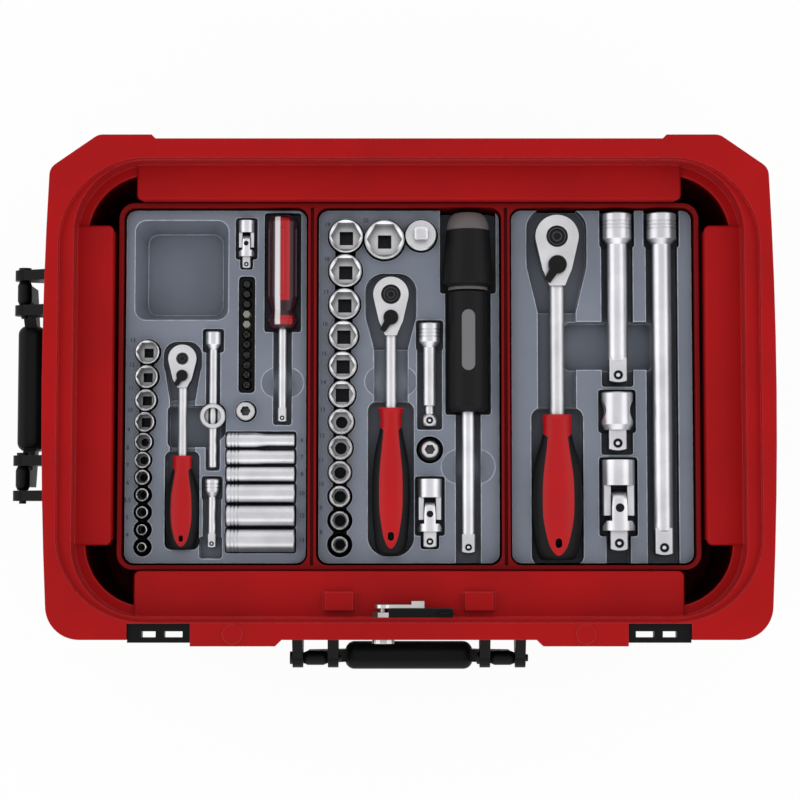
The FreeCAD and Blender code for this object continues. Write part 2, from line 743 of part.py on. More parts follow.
def side_ribs():
    """Shallow upright stiffening ribs low on the front and rear walls."""
    ribs = []
    for i in range(SIDE_RIB_COUNT):
        x = (i - (SIDE_RIB_COUNT - 1) / 2) * SIDE_RIB_PITCH
        for wall_y, outward in ((WALL_FRONT_Y, -1), (WALL_REAR_Y, 1)):
            face = wall_y + outward * SIDE_RIB_DEPTH
            root = wall_y - outward * CASE_WALL / 2
            ribs.append(block(
                x - SIDE_RIB_WIDTH / 2, x + SIDE_RIB_WIDTH / 2, min(face, root), max(face, root),
                SIDE_RIB_BOTTOM, SIDE_RIB_TOP,
            ))
    return ribs


def lobe_discs():
    """The round pads on top of the two front lobes."""
    top = CASE_HEIGHT + LOBE_DISC_H
    return [
        disc(sign * LOBE_DISC_X, LOBE_DISC_Y, LOBE_DISC_R, CASE_HEIGHT - RIM_SKIN, top)
        for sign in (1, -1)
    ]


def side_handle_pad(sign):
    """The raised pad on the left wall that carries one bracket of the side handle."""
    y = SIDE_HANDLE_Y + sign * PIVOT_HALF_SPAN
    low = HANDLE_PIVOT_Z - BRACKET_HEIGHT / 2
    return block(
        SIDE_BASE_X, -WALL_HALF_X + CASE_WALL / 2, y - BRACKET_WIDTH / 2, y + BRACKET_WIDTH / 2,
        low, RIM_BOTTOM + RIM_SKIN,
    )


def keeper_room(sign):
    """The gap in the front rim that one latch keeper fills."""
    half = KEEPER_WIDTH / 2 + SEAT_GAP
    return block(
        sign * KEEPER_X - half, sign * KEEPER_X + half, RIM_FRONT_Y - 2 * LOBE_STEP, WALL_FRONT_Y,
        RIM_BOTTOM - CUT_OVER, CASE_HEIGHT + CUT_OVER,
    )


def latch_keepers():
    """The two black frames on the front edge that the lid's latches would hook under."""
    keepers = []
    for sign in (1, -1):
        x = sign * KEEPER_X
        front = WALL_FRONT_Y - KEEPER_FRONT
        low = KEEPER_TOP - KEEPER_HEIGHT
        frame = block(
            x - KEEPER_WIDTH / 2, x + KEEPER_WIDTH / 2, front, WALL_FRONT_Y, low, KEEPER_TOP
        )
        for middle, width in KEEPER_WINDOWS:
            window_y = front + KEEPER_BAR
            window_x = x + sign * middle
            frame = frame.cut(block(
                window_x - width / 2, window_x + width / 2, window_y,
                window_y + KEEPER_WINDOW_DEPTH, low - CUT_OVER, KEEPER_TOP + CUT_OVER,
            ))
        keepers.append(frame)
    return Part.makeCompound(keepers)


def shelf(half, depth):
    """One shelf with its skirt and lip: its free edge is at y = 0, and it meets the wall at y = depth."""
    plate = block(-half, half, 0, depth, LEDGE_TOP, SHELF_TOP)
    corners = [e for e in plate.Edges if e.BoundBox.ZLength > THIN and e.CenterOfMass.y < THIN]
    plate = plate.makeFillet(SHELF_CORNER_R, corners)
    top = [e for e in plate.Edges if e.BoundBox.ZMin > SHELF_TOP - THIN]
    plate = plate.makeFillet(SHELF_ROUND, [e for e in top if e.CenterOfMass.y < depth - THIN])
    inner = half - SHELF_CORNER_R
    hold = SHELF_TOP - (SHELF_THICKNESS + SHELF_ROUND) / 2
    skirt = block(-inner, inner, 0, CARRIER_WALL, LIP_BOTTOM, hold)
    lip = block(-inner, inner, -LIP_REACH, CARRIER_WALL, LIP_BOTTOM, CARRIER_BOTTOM)
    return plate.multiFuse([skirt, lip])


def shelves():
    """The four moulded shelves round the well, whose lips carry the tool carrier."""
    mid = TRAY_MID_Y
    rear = mid + SHELF_INNER_Y
    front = mid - SHELF_INNER_Y
    bite = CASE_WALL / 2
    side_depth = INNER_HALF_X + bite - SHELF_INNER_X
    side = shelf(SIDE_SHELF_HALF_Y, side_depth)
    front_shelf = turned_about(shelf(REAR_SHELF_HALF_X, front - INNER_FRONT_Y + bite), Z_AXIS, 180)
    return [
        moved(shelf(REAR_SHELF_HALF_X, INNER_REAR_Y + bite - rear), 0, rear, 0),
        moved(front_shelf, 0, front, 0),
        moved(turned_about(side, Z_AXIS, -90), SHELF_INNER_X, mid, 0),
        moved(turned_about(side, Z_AXIS, 90), -SHELF_INNER_X, mid, 0),
    ]


def tool_carrier():
    """The lift-out carrier: a shallow box with three bays for the trays, grooved along its dividers."""
    outer_x = BAY_HALF_X + CARRIER_WALL
    outer_y = BAY_HALF_Y + CARRIER_WALL
    mid = TRAY_MID_Y
    corner = TRAY_CORNER_R + BAY_GAP
    body = rounded_block(
        -outer_x, outer_x, mid - outer_y, mid + outer_y, CARRIER_BOTTOM, FRAME_TOP, corner + CARRIER_WALL
    )
    for i in (-1, 0, 1):
        x = i * TRAY_PITCH
        half = TRAY_HALF_X + BAY_GAP
        body = body.cut(rounded_block(
            x - half, x + half, mid - BAY_HALF_Y, mid + BAY_HALF_Y,
            TRAY_BOTTOM, FRAME_TOP + CUT_OVER, corner,
        ))
    groove = DIVIDER_GROOVE_WIDTH / 2
    for sign in (1, -1):
        x = sign * TRAY_PITCH / 2
        body = body.cut(block(
            x - groove, x + groove, mid - BAY_HALF_Y, mid + BAY_HALF_Y,
            FRAME_TOP - DIVIDER_GROOVE_DEPTH, FRAME_TOP + CUT_OVER,
        ))
    return body


def shelf_bosses():
    """The two raised stops on the front shelf, wider at the foot than at the top."""
    bosses = []
    for sign in (1, -1):
        x = sign * SHELF_BOSS_X
        half = SHELF_BOSS_WIDTH / 2
        foot = half + SHELF_BOSS_DRAFT
        y0 = SHELF_BOSS_Y - SHELF_BOSS_DEPTH / 2
        low = LEDGE_TOP + SHELF_THICKNESS / 2
        high = SHELF_TOP + SHELF_BOSS_HEIGHT
        points = [(x - foot, y0, low), (x + foot, y0, low), (x + half, y0, high), (x - half, y0, high)]
        bosses.append(prism(points, Y_AXIS * SHELF_BOSS_DEPTH))
    return bosses


def handle_bracket():
    """One clevis: its base stands on the wall at y = 0, its pin runs along X in front of that."""
    half = BRACKET_WIDTH / 2
    tall = BRACKET_HEIGHT / 2
    base = block(-half, half, -BRACKET_BASE, 0, -tall, tall)
    pieces = [base]
    for sign in (1, -1):
        outer = sign * half
        inner = sign * (half - CHEEK_WIDTH)
        x0 = min(outer, inner)
        points = [
            (x0, -BRACKET_BASE / 2, -tall),
            (x0, -BRACKET_BASE / 2, tall),
            (x0, -HANDLE_REACH, CHEEK_NOSE_R),
            (x0, -HANDLE_REACH, -CHEEK_NOSE_R),
        ]
        pieces.append(prism(points, X_AXIS * CHEEK_WIDTH))
        pieces.append(rod(CHEEK_NOSE_R, (x0, -HANDLE_REACH, 0), (x0 + CHEEK_WIDTH, -HANDLE_REACH, 0)))
    bracket = joined(pieces)
    bore = HANDLE_PIN_R + PRESS_GAP
    return bracket.cut(rod(bore, (-half - CUT_OVER, -HANDLE_REACH, 0), (half + CUT_OVER, -HANDLE_REACH, 0)))


def handle_pin():
    """One headed pivot pin through a bracket, about the bracket's own origin."""
    half = BRACKET_WIDTH / 2
    shank = rod(HANDLE_PIN_R, (-half, -HANDLE_REACH, 0), (half + HANDLE_PIN_HEAD, -HANDLE_REACH, 0))
    head = rod(HANDLE_PIN_HEAD_R, (-half - HANDLE_PIN_HEAD, -HANDLE_REACH, 0), (-half, -HANDLE_REACH, 0))
    return shank.fuse(head)


def handle():
    """A bail handle hanging from its two pivot bosses: the pivot axis is X through the origin."""
    tip = BOSS_TIP
    half = BOSS_LENGTH / 2
    profile = ((-half, BOSS_TIP_R), (tip - half, BOSS_R), (half - tip, BOSS_R), (half, BOSS_TIP_R))
    low = -HANDLE_DROP
    grip_half = GRIP_LENGTH / 2
    pieces = []
    for sign in (1, -1):
        pieces.append(moved(turned(profile, X_AXIS), sign * PIVOT_HALF_SPAN, 0, 0))
        inner_top = sign * (PIVOT_HALF_SPAN - ARM_WIDTH / 2)
        outer_top = sign * (PIVOT_HALF_SPAN + ARM_WIDTH / 2)
        foot = sign * (grip_half - GRIP_ROUND)
        y0 = -ARM_THICKNESS / 2
        points = [
            (inner_top, y0, 0),
            (outer_top, y0, 0),
            (outer_top, y0, low + ARM_FOOT),
            (foot, y0, low - ARM_FOOT),
            (foot, y0, low + ARM_FOOT),
            (inner_top, y0, -ARM_STRAIGHT),
        ]
        pieces.append(prism(points, Y_AXIS * ARM_THICKNESS))
    grip = block(
        -grip_half, grip_half, -GRIP_DEPTH / 2, GRIP_DEPTH / 2,
        low - GRIP_HEIGHT / 2, low + GRIP_HEIGHT / 2,
    )
    pieces.append(grip.makeFillet(GRIP_ROUND, grip.Edges))
    bail = joined(pieces)
    for sign in (1, -1):
        x = sign * PIVOT_HALF_SPAN
        bore_end = half + CUT_OVER
        bail = bail.cut(rod(HANDLE_PIN_R + RUNNING_GAP, (x - bore_end, 0, 0), (x + bore_end, 0, 0)))
    return bail


def on_front(shape, offset):
    """Places a bracket-frame shape on the front wall at an offset along it."""
    return moved(shape, offset, WALL_FRONT_Y, HANDLE_PIVOT_Z)


def on_side(shape, offset):
    """Places a bracket-frame shape on the left wall's pads at an offset along it."""
    return moved(turned_about(shape, Z_AXIS, -90), SIDE_BASE_X, SIDE_HANDLE_Y + offset, HANDLE_PIVOT_Z)


def four_places(shape):
    """One copy of a bracket-frame shape at each end of both handles."""
    offsets = (-PIVOT_HALF_SPAN, PIVOT_HALF_SPAN)
    return Part.makeCompound([place(shape, o) for place in (on_front, on_side) for o in offsets])


def front_handle():
    """The handle on the front wall."""
    return on_front(moved(handle(), 0, -HANDLE_REACH, 0), 0)


def side_handle():
    """The handle on the left wall."""
    return on_side(moved(handle(), 0, -HANDLE_REACH, 0), 0)


def lock_barrel():
    """The lock's barrel with its front flange, and the nut that clamps it from inside."""
    nut_front = INNER_FRONT_Y
    nut_back = nut_front + LOCK_NUT
    barrel = rod(LOCK_BARREL_R, (0, RIM_FRONT_Y, 0), (0, nut_back, 0))
    flange = rod(LOCK_FLANGE_R, (0, RIM_FRONT_Y - LOCK_FLANGE, 0), (0, RIM_FRONT_Y, 0))
    bore = rod(LOCK_STEM_R + RUNNING_GAP, (0, RIM_FRONT_Y, 0), (0, nut_back + CUT_OVER, 0))
    body = joined([barrel, flange]).cut(bore)
    nut = turned_about(hexagon(LOCK_NUT_AF, 0, LOCK_NUT), X_AXIS, -90)
    nut = moved(nut, 0, nut_front, 0)
    nut = nut.cut(rod(LOCK_BARREL_R + PRESS_GAP, (0, nut_front - CUT_OVER, 0), (0, nut_back + CUT_OVER, 0)))
    return moved(Part.makeCompound([body, nut]), LOCK_X, 0, LOCK_Z)


def lock_cam():
    """The turning cam on the end of the lock's stem, lying along the front wall."""
    start = RIM_FRONT_Y + RUNNING_GAP
    cam_y = INNER_FRONT_Y + LOCK_TAIL - CAM_THICKNESS
    stem = rod(LOCK_STEM_R, (0, start, 0), (0, cam_y + CAM_THICKNESS, 0))
    eye = rod(CAM_EYE_R, (0, cam_y, 0), (0, cam_y + CAM_THICKNESS, 0))
    half = CAM_HEIGHT / 2
    bar = block(0, CAM_LENGTH, cam_y, cam_y + CAM_THICKNESS, -half, half)
    hook = block(CAM_LENGTH - CAM_HEIGHT, CAM_LENGTH, cam_y, cam_y + 2 * CAM_THICKNESS, -half, half)
    return moved(joined([stem, eye, bar, hook]), LOCK_X, 0, LOCK_Z)


def lock_cover():
    """The black box beside the lock on the inside of the wall, with a ring on its top edge."""
    x0 = LOCK_COVER_X - LOCK_COVER_WIDTH / 2
    x1 = LOCK_COVER_X + LOCK_COVER_WIDTH / 2
    y1 = INNER_FRONT_Y + LOCK_COVER_DEPTH
    half = LOCK_COVER_HEIGHT / 2
    box = block(x0, x1, INNER_FRONT_Y, y1, LOCK_Z - half, LOCK_Z + half)
    nut_room = LOCK_NUT_AF / math.sqrt(3) + RUNNING_GAP
    room = rod(nut_room, (LOCK_X, INNER_FRONT_Y - CUT_OVER, LOCK_Z), (LOCK_X, y1 + CUT_OVER, LOCK_Z))
    cam_y = INNER_FRONT_Y + LOCK_TAIL - CAM_THICKNESS - RUNNING_GAP
    sweep = block(x0 - CUT_OVER, x1 + CUT_OVER, cam_y, y1 + CUT_OVER, LOCK_Z - half - CUT_OVER,
                  LOCK_Z + half + CUT_OVER)
    ring = Part.makeTorus(LOCK_COVER_RING_R, LOCK_COVER_RING_WIRE, Vector(0, 0, 0), Y_AXIS)
    ring = moved(ring, LOCK_COVER_RING_X, (INNER_FRONT_Y + cam_y) / 2, LOCK_Z + half - LOCK_COVER_RING_R / 2)
    return joined([box.cut(room).cut(sweep), ring])


def socket(nut_size, mouth, drive_end, length, drive):
    """A standing socket, nut end up, drive hole down, on z = 0."""
    waist_low = length * WAIST_LOW_SHARE
    waist_high = length * WAIST_HIGH_SHARE
    lip = SOCKET_LIP
    r_low = drive_end / 2
    r_high = mouth / 2
    profile = (
        (0, r_low - lip), (lip, r_low), (waist_low, r_low),
        (waist_high, r_high), (length - lip, r_high), (length, r_high - lip),
    )
    bore = min(nut_size / 2, drive / 2) * THROUGH_HOLE_SHARE
    solid = turned(profile, Z_AXIS)
    half = (drive + DRIVE_BORE_GAP) / 2
    square_top = length * (DRIVE_HOLE_SHARE if nut_size < drive * SQUARE_THROUGH_SHARE else NUT_FLOOR_SHARE)
    solid = solid.cut(block(-half, half, -half, half, -CUT_OVER, square_top))
    solid = solid.cut(disc(0, 0, bore, 0, length))
    solid = solid.cut(hexagon(nut_size + DRIVE_BORE_GAP, length * NUT_FLOOR_SHARE, length + CUT_OVER))
    corner = nut_size / math.sqrt(3)
    lead = Part.makeCone(nut_size / 2, corner + lip, lip * 2, Vector(0, 0, length - lip * 2 + lip / 4))
    return solid.cut(lead)


def in_tray(shape, tray, x, y, z):
    """Places a tool at x, y in the tray numbered -1, 0 or 1 from the left."""
    return moved(shape, tray * TRAY_PITCH + x, TRAY_MID_Y + y, z)


def column(sizes, top, gap):
    """The middle places of round pieces set edge to edge down a tray, with the greatest diameter."""
    places = []
    y = top
    for size in sizes:
        widest = max(size[1], size[2])
        y -= widest / 2
        places.append((size, widest, y))
        y -= widest / 2 + gap
    return places


def standing_set(sizes, top, length, drive, tray):
    """A column of standing sockets, aligned on their left edges."""
    seat = TRAY_TOP + SOCKET_PROUD - length
    shapes = []
    for size, widest, y in column(sizes, top, SOCKET_GAP):
        shapes.append(in_tray(socket(*size, length, drive), tray, SOCKET_COLUMN_X + widest / 2, y, seat))
    return shapes


def quarter_sockets():
    """The eleven quarter inch sockets and the bit adaptor."""
    shapes = standing_set(QUARTER_SOCKETS, QUARTER_COLUMN_TOP, QUARTER_SOCKET_LENGTH, QUARTER_DRIVE, -1)
    return Part.makeCompound(shapes + [bit_adaptor()])


def three_eighths_sockets():
    """The twelve sockets of the column and the large one beside it."""
    length = THREE_EIGHTHS_SOCKET_LENGTH
    drive = THREE_EIGHTHS_DRIVE
    shapes = standing_set(THREE_EIGHTHS_SOCKETS, THREE_EIGHTHS_COLUMN_TOP, length, drive, 0)
    seat = TRAY_TOP + SOCKET_PROUD - length
    large = socket(*LARGE_SOCKET, length, drive)
    shapes.append(in_tray(large, 0, LARGE_SOCKET_X, LARGE_SOCKET_Y, seat))
    return Part.makeCompound(shapes)


def quarter_deep_sockets():
    """Six long sockets lying across the tray, drive ends to the left."""
    shapes = []
    for size, widest, y in column(DEEP_SOCKETS, DEEP_SOCKET_TOP, DEEP_SOCKET_GAP):
        upright = socket(*size, DEEP_SOCKET_LENGTH, QUARTER_DRIVE)
        for groove in knurl(size[2] / 2, DEEP_KNURL_START):
            upright = upright.cut(turned_about(groove, X_AXIS, -90))
        lying = turned_about(upright, Y_AXIS, 90)
        shapes.append(in_tray(lying, -1, DEEP_SOCKET_X, y, TOOL_Z))
    return Part.makeCompound(shapes)


def bit_adaptor():
    """The quarter inch piece that takes a hexagon bit, standing."""
    lip = SOCKET_LIP
    length = BIT_ADAPTOR_LENGTH
    radius = BIT_ADAPTOR_R
    solid = turned(((0, radius - lip), (lip, radius), (length - lip, radius), (length, radius - lip)), Z_AXIS)
    half = (QUARTER_DRIVE + DRIVE_BORE_GAP) / 2
    solid = solid.cut(block(-half, half, -half, half, -CUT_OVER, BIT_ADAPTOR_DRIVE_DEPTH))
    solid = solid.cut(hexagon(BIT_HEX_AF + DRIVE_BORE_GAP, length - BIT_HOLE_DEPTH, length + CUT_OVER))
    return in_tray(solid, -1, BIT_ADAPTOR_X, BIT_ADAPTOR_Y, TRAY_TOP + SOCKET_PROUD - length)


def bit_coupler():
    """The three eighths piece that takes a hexagon bit, standing with its stepped nose up."""
    lip = SOCKET_LIP
    length = BIT_COUPLER_LENGTH
    step = BIT_COUPLER_STEP
    wide = BIT_COUPLER_R
    nose = BIT_COUPLER_NOSE_R
    profile = (
        (0, wide - lip), (lip, wide), (step, wide), (step + wide - nose, nose),
        (length - lip, nose), (length, nose - lip),
    )
    solid = turned(profile, Z_AXIS)
    half = (THREE_EIGHTHS_DRIVE + DRIVE_BORE_GAP) / 2
    solid = solid.cut(block(-half, half, -half, half, -CUT_OVER, BIT_COUPLER_DRIVE_DEPTH))
    solid = solid.cut(hexagon(BIT_HEX_AF + DRIVE_BORE_GAP, length - BIT_HOLE_DEPTH, length + CUT_OVER))
    return in_tray(solid, 0, BIT_COUPLER_X, BIT_COUPLER_Y, TRAY_TOP + SOCKET_PROUD - length)


def step_adaptor():
    """The adaptor from half inch to three eighths, standing with its drive square up."""
    lip = SOCKET_LIP
    radius = STEP_ADAPTOR_R
    body = STEP_ADAPTOR_BODY
    solid = turned(((0, radius - lip), (lip, radius), (body - lip, radius), (body, radius - lip)), Z_AXIS)
    half = (HALF_DRIVE + DRIVE_BORE_GAP) / 2
    solid = solid.cut(block(-half, half, -half, half, -CUT_OVER, STEP_ADAPTOR_DRIVE_DEPTH))
    square = drive_square(THREE_EIGHTHS_DRIVE, -STEP_ADAPTOR_SQUARE, SQUARE_CHAMFER)
    square = moved(turned_about(square, X_AXIS, -90), 0, 0, body)
    return in_tray(joined([solid, square]), 0, STEP_ADAPTOR_X, STEP_ADAPTOR_Y,
                   TRAY_TOP + SOCKET_PROUD - body)


def knurl(radius, first):
    """Rings to cut from the socket end of a bar, so that fingers hold it."""
    cuts = []
    for i in range(KNURL_GROOVES):
        y = -(first + i * KNURL_PITCH)
        outer = rod(radius + CUT_OVER, (0, y, 0), (0, y - KNURL_WIDTH, 0))
        inner = rod(radius - KNURL_DEPTH, (0, y + CUT_OVER, 0), (0, y - KNURL_WIDTH - CUT_OVER, 0))
        cuts.append(outer.cut(inner))
    return cuts


def bar_with_socket(socket_r, socket_length, shaft_r, shaft_end):
    """A bar along -Y from the origin: a wider end for the socket, a taper and a plain shaft."""
    lip = SOCKET_LIP
    profile = (
        (0, socket_r - lip), (lip, socket_r), (socket_length - COLLAR_TAPER, socket_r),
        (socket_length, shaft_r), (shaft_end - lip, shaft_r), (shaft_end, shaft_r - lip),
    )
    return turned(profile, -Y_AXIS)


def extension(size):
    """An extension bar: square hole at the far end, drive square with its ball at the near end."""
    shaft_end = size.length - size.square_length
    bar = bar_with_socket(size.socket_r, size.socket_length, size.shaft_r, shaft_end)
    square = drive_square(size.drive, -size.length, -shaft_end + SHAFT_NECK)
    bar = joined([bar, square])
    bar = bar.cut(drive_bore(size.drive, -size.socket_length * BAR_HOLE_SHARE, CUT_OVER))
    for groove in knurl(size.socket_r, size.socket_length * KNURL_START_SHARE):
        bar = bar.cut(groove)
    return bar


def wobble_extension():
    """The extension whose drive square is waisted and rounded, so that it can tilt in a socket."""
    size = WOBBLE_EXTENSION
    shaft_end = size.length - size.square_length
    bar = bar_with_socket(size.socket_r, size.socket_length, size.shaft_r, shaft_end)
    waist = size.drive / 2 * WOBBLE_WAIST_SHARE
    neck = rod(waist, (0, -shaft_end + SHAFT_NECK, 0), (0, -size.length + size.drive / 2, 0))
    square = drive_square(size.drive, -size.length, -size.length + size.drive)
    ball = Part.makeSphere(size.drive * WOBBLE_BALL_SHARE, Vector(0, -size.length + size.drive / 2, 0))
    bar = joined([bar, neck, square.common(ball)])
    bar = bar.cut(drive_bore(size.drive, -size.socket_length * BAR_HOLE_SHARE, CUT_OVER))
    for groove in knurl(size.socket_r, size.socket_length * KNURL_START_SHARE):
        bar = bar.cut(groove)
    return in_tray(bar, 0, size.x, size.top, TOOL_Z)


def tee_bar():
    """The quarter inch bar that the T piece slides on, with a square hole in its wide end."""
    bar = bar_with_socket(TEE_BAR_SOCKET_R, TEE_BAR_SOCKET, TEE_BAR_R, TEE_BAR_LENGTH)
    bar = bar.cut(drive_bore(QUARTER_DRIVE, -TEE_BAR_SOCKET * BAR_HOLE_SHARE, CUT_OVER))
    return in_tray(bar, -1, TEE_BAR_X, TEE_BAR_TOP, TOOL_Z)


def tee_slider():
    """The round T piece across the bar, its drive square pointing down."""
    half = TEE_SLIDER_HEIGHT / 2
    drum = disc(0, 0, TEE_SLIDER_R, -half, half)
    rims = [e for e in drum.Edges if e.Closed]
    drum = drum.makeChamfer(SOCKET_LIP, rims)
    square = turned_about(drive_square(QUARTER_DRIVE, -TEE_SLIDER_SQUARE, SQUARE_CHAMFER), X_AXIS, 90)
    drum = joined([drum, moved(square, 0, 0, -half)])
    drum = drum.cut(disc(0, 0, TEE_SLIDER_DISH_R, half - TEE_SLIDER_DISH, half + CUT_OVER))
    bore = rod(TEE_BAR_R + RUNNING_GAP, (0, -TEE_SLIDER_R - CUT_OVER, 0), (0, TEE_SLIDER_R + CUT_OVER, 0))
    return in_tray(drum.cut(bore), -1, TEE_BAR_X, TEE_SLIDER_Y, TOOL_Z)


def tee_head():
    """The half inch T head: a cross bore for a bar, and a drive square."""
    lip = SOCKET_LIP
    end = TEE_HEAD_LENGTH
    radius = TEE_HEAD_R
    nose = radius - COLLAR_TAPER / 2
    profile = ((0, radius - lip), (lip, radius), (end - COLLAR_TAPER, radius), (end, nose))
    body = turned(profile, -Y_AXIS)
    square = drive_square(HALF_DRIVE, -end - TEE_HEAD_SQUARE, -end + SHAFT_NECK)
    y = -TEE_HEAD_BORE_Y
    bore = rod(TEE_HEAD_BORE_R, (-radius - CUT_OVER, y, 0), (radius + CUT_OVER, y, 0))
    return in_tray(joined([body, square]).cut(bore), 1, TEE_HEAD_X, TEE_HEAD_TOP, TOOL_Z)


def spinner_handle():
    """The fluted spinner grip, hollow for the shaft's tang."""
    r = SPINNER_R
    end = SPINNER_LENGTH
    round_end = SPINNER_END_ROUND
    profile = (
        (0, r - round_end), (SPINNER_TIP_STEP, r - SPINNER_TIP_STEP), (round_end, r),
        (SPINNER_FLUTE_END, r), (SPINNER_NECK, SPINNER_NECK_R), (SPINNER_FLARE, SPINNER_FLARE_R),
        (end - SOCKET_LIP, SPINNER_FLARE_R - SPINNER_NOSE_STEP), (end, SPINNER_FLARE_R - round_end),
    )
    grip = turned(profile, -Y_AXIS)
    for i in range(SPINNER_FLUTES):
        angle = math.radians(360 * (i + 0.5) / SPINNER_FLUTES)
        reach = r + SPINNER_FLUTE_R / 2
        x = reach * math.cos(angle)
        z = reach * math.sin(angle)
        grip = grip.cut(rod(SPINNER_FLUTE_R, (x, -SPINNER_FLUTE_START, z), (x, -SPINNER_FLUTE_END, z)))
    bore = rod(SPINNER_SHAFT_R + PRESS_GAP, (0, -SPINNER_TANG, 0), (0, -end - CUT_OVER, 0))
    return in_tray(grip.cut(bore), -1, SPINNER_X, SPINNER_TOP, TOOL_Z)


def spinner_shaft():
    """The spinner's shaft with its drive square."""
    shaft_end = SPINNER_SHAFT_END - QUARTER_EXTENSION.square_length
    shaft = rod(SPINNER_SHAFT_R, (0, -SPINNER_TANG, 0), (0, -shaft_end, 0))
    square = drive_square(QUARTER_DRIVE, -SPINNER_SHAFT_END, -shaft_end + SHAFT_NECK)
    return in_tray(joined([shaft, square]), -1, SPINNER_X, SPINNER_TOP, TOOL_Z)


def bit_places():
    """The middle places of the upright bits."""
    return [BIT_FIRST_Y - i * BIT_PITCH for i in range(len(BIT_KINDS))]


def bit_tip(kind):
    """The working end of a bit above its shank: round, hexagon, flat blade or cross."""
    low = BIT_LENGTH - BIT_TIP
    if kind == "hex":
        return hexagon(BIT_HEX_TIP_AF, low, BIT_LENGTH)
    tip = Part.makeCone(BIT_AF / 2, BIT_TIP_R, BIT_TIP, Vector(0, 0, low))
    wide = BIT_AF
    top = BIT_LENGTH + CUT_OVER
    if kind == "flat":
        blade_low = BIT_LENGTH - BIT_TIP / 2
        sides = [block(-wide, wide, s * BIT_BLADE / 2, s * wide, blade_low, top) if s > 0
                 else block(-wide, wide, s * wide, s * BIT_BLADE / 2, blade_low, top) for s in (1, -1)]
        return tip.cut(sides[0]).cut(sides[1])
    if kind == "cross":
        slot = BIT_SLOT / 2
        for turn in (0, 90):
            notch = block(-wide, wide, -slot, slot, BIT_LENGTH - BIT_TIP / 3, top)
            tip = tip.cut(turned_about(notch, Z_AXIS, turn + 45))
        return tip
    return tip


def bits():
    """The upright bits, each a hexagon shank with its own kind of tip."""
    shapes = []
    for y, kind in zip(bit_places(), BIT_KINDS):
        shank = hexagon(BIT_AF, 0, BIT_LENGTH - BIT_TIP)
        bit = joined([shank, bit_tip(kind)])
        shapes.append(in_tray(bit, -1, BIT_X, y, TRAY_TOP + BIT_PROUD - BIT_LENGTH))
    return Part.makeCompound(shapes)


def bit_holder():
    """The black strip with one round hole for each bit."""
    places = bit_places()
    half = BIT_HOLDER_WIDTH / 2
    top = TRAY_TOP - BIT_HOLDER_DROP
    seat = TRAY_TOP + BIT_PROUD - BIT_LENGTH
    strip = rounded_block(
        -half, half, places[-1] - BIT_HOLDER_END, places[0] + BIT_HOLDER_END,
        seat - BIT_HOLDER_FLOOR, top, half / 2,
    )
    hole = BIT_AF / math.sqrt(3) + SEAT_GAP
    for y in places:
        strip = strip.cut(disc(0, y, hole, seat, top + CUT_OVER))
    return in_tray(strip, -1, BIT_X, 0, 0)


def drive_handle_grip():
    """The lower grip of the drive handle with the bare oval inset for a badge."""
    start = DOME_LENGTH + CAP_LENGTH + RING_LENGTH
    end = start + DRIVE_GRIP_LENGTH
    r = GRIP_R
    edge = GRIP_END_ROUND
    profile = (
        (start, r - edge / 2), (start + edge / 2, r), (end - edge, r), (end - edge / 3, r - edge / 3),
        (end, r - edge),
    )
    grip = turned(profile, -Y_AXIS)
    middle = (start + end) / 2 - BADGE_SETBACK
    half = BADGE_WIDTH / 2
    inset = rounded_block(
        -half, half, -middle - BADGE_LENGTH / 2, -middle + BADGE_LENGTH / 2,
        math.sqrt(r * r - half * half) - BADGE_DEPTH, r + CUT_OVER, half,
    )
    grip = grip.cut(inset)
    tang = end - HANDLE_TANG
    bore = rod(HANDLE_SHAFT_R + PRESS_GAP, (0, -tang, 0), (0, -end - CUT_OVER, 0))
    spindle = rod(SPINDLE_R + PRESS_GAP, (0, -start + CUT_OVER, 0), (0, -tang, 0))
    return in_tray(grip.cut(bore).cut(spindle), 0, HANDLE_X, HANDLE_TOP, TOOL_Z)


def drive_handle_cap():
    """The wide palm cap that turns on the spindle at the end of the grip."""
    start = DOME_LENGTH
    end = start + CAP_LENGTH
    r = CAP_R
    edge = CAP_ROUND
    profile = ((start, CAP_TOP_R), (end - edge, r), (end, r - edge))
    cap = turned(profile, -Y_AXIS)
    head_y = end - SPINDLE_REACH
    bore = rod(SPINDLE_R + RUNNING_GAP, (0, -head_y, 0), (0, -end - CUT_OVER, 0))
    pocket = rod(
        SPINDLE_HEAD_R + RUNNING_GAP, (0, -start + CUT_OVER, 0),
        (0, -head_y - SPINDLE_HEAD - RUNNING_GAP, 0),
    )
    return in_tray(cap.cut(bore).cut(pocket), 0, HANDLE_X, HANDLE_TOP, TOOL_Z)


def drive_handle_trim():
    """The grey dome that closes the palm cap, and the grey ring between cap and grip."""
    profile = []
    for i in range(DOME_STEPS + 1):
        angle = math.radians(90 * i / DOME_STEPS)
        swell = (DOME_R - DOME_TIP_R) * math.sin(angle)
        profile.append((DOME_LENGTH * (1 - math.cos(angle)), DOME_TIP_R + swell))
    dome = turned(profile, -Y_AXIS)
    start = DOME_LENGTH + CAP_LENGTH
    end = start + RING_LENGTH
    ring = rod(RING_R, (0, -start, 0), (0, -end + RUNNING_GAP, 0))
    ring = ring.cut(rod(SPINDLE_R + RUNNING_GAP, (0, -start + CUT_OVER, 0), (0, -end - CUT_OVER, 0)))
    return in_tray(Part.makeCompound([dome, ring]), 0, HANDLE_X, HANDLE_TOP, TOOL_Z)


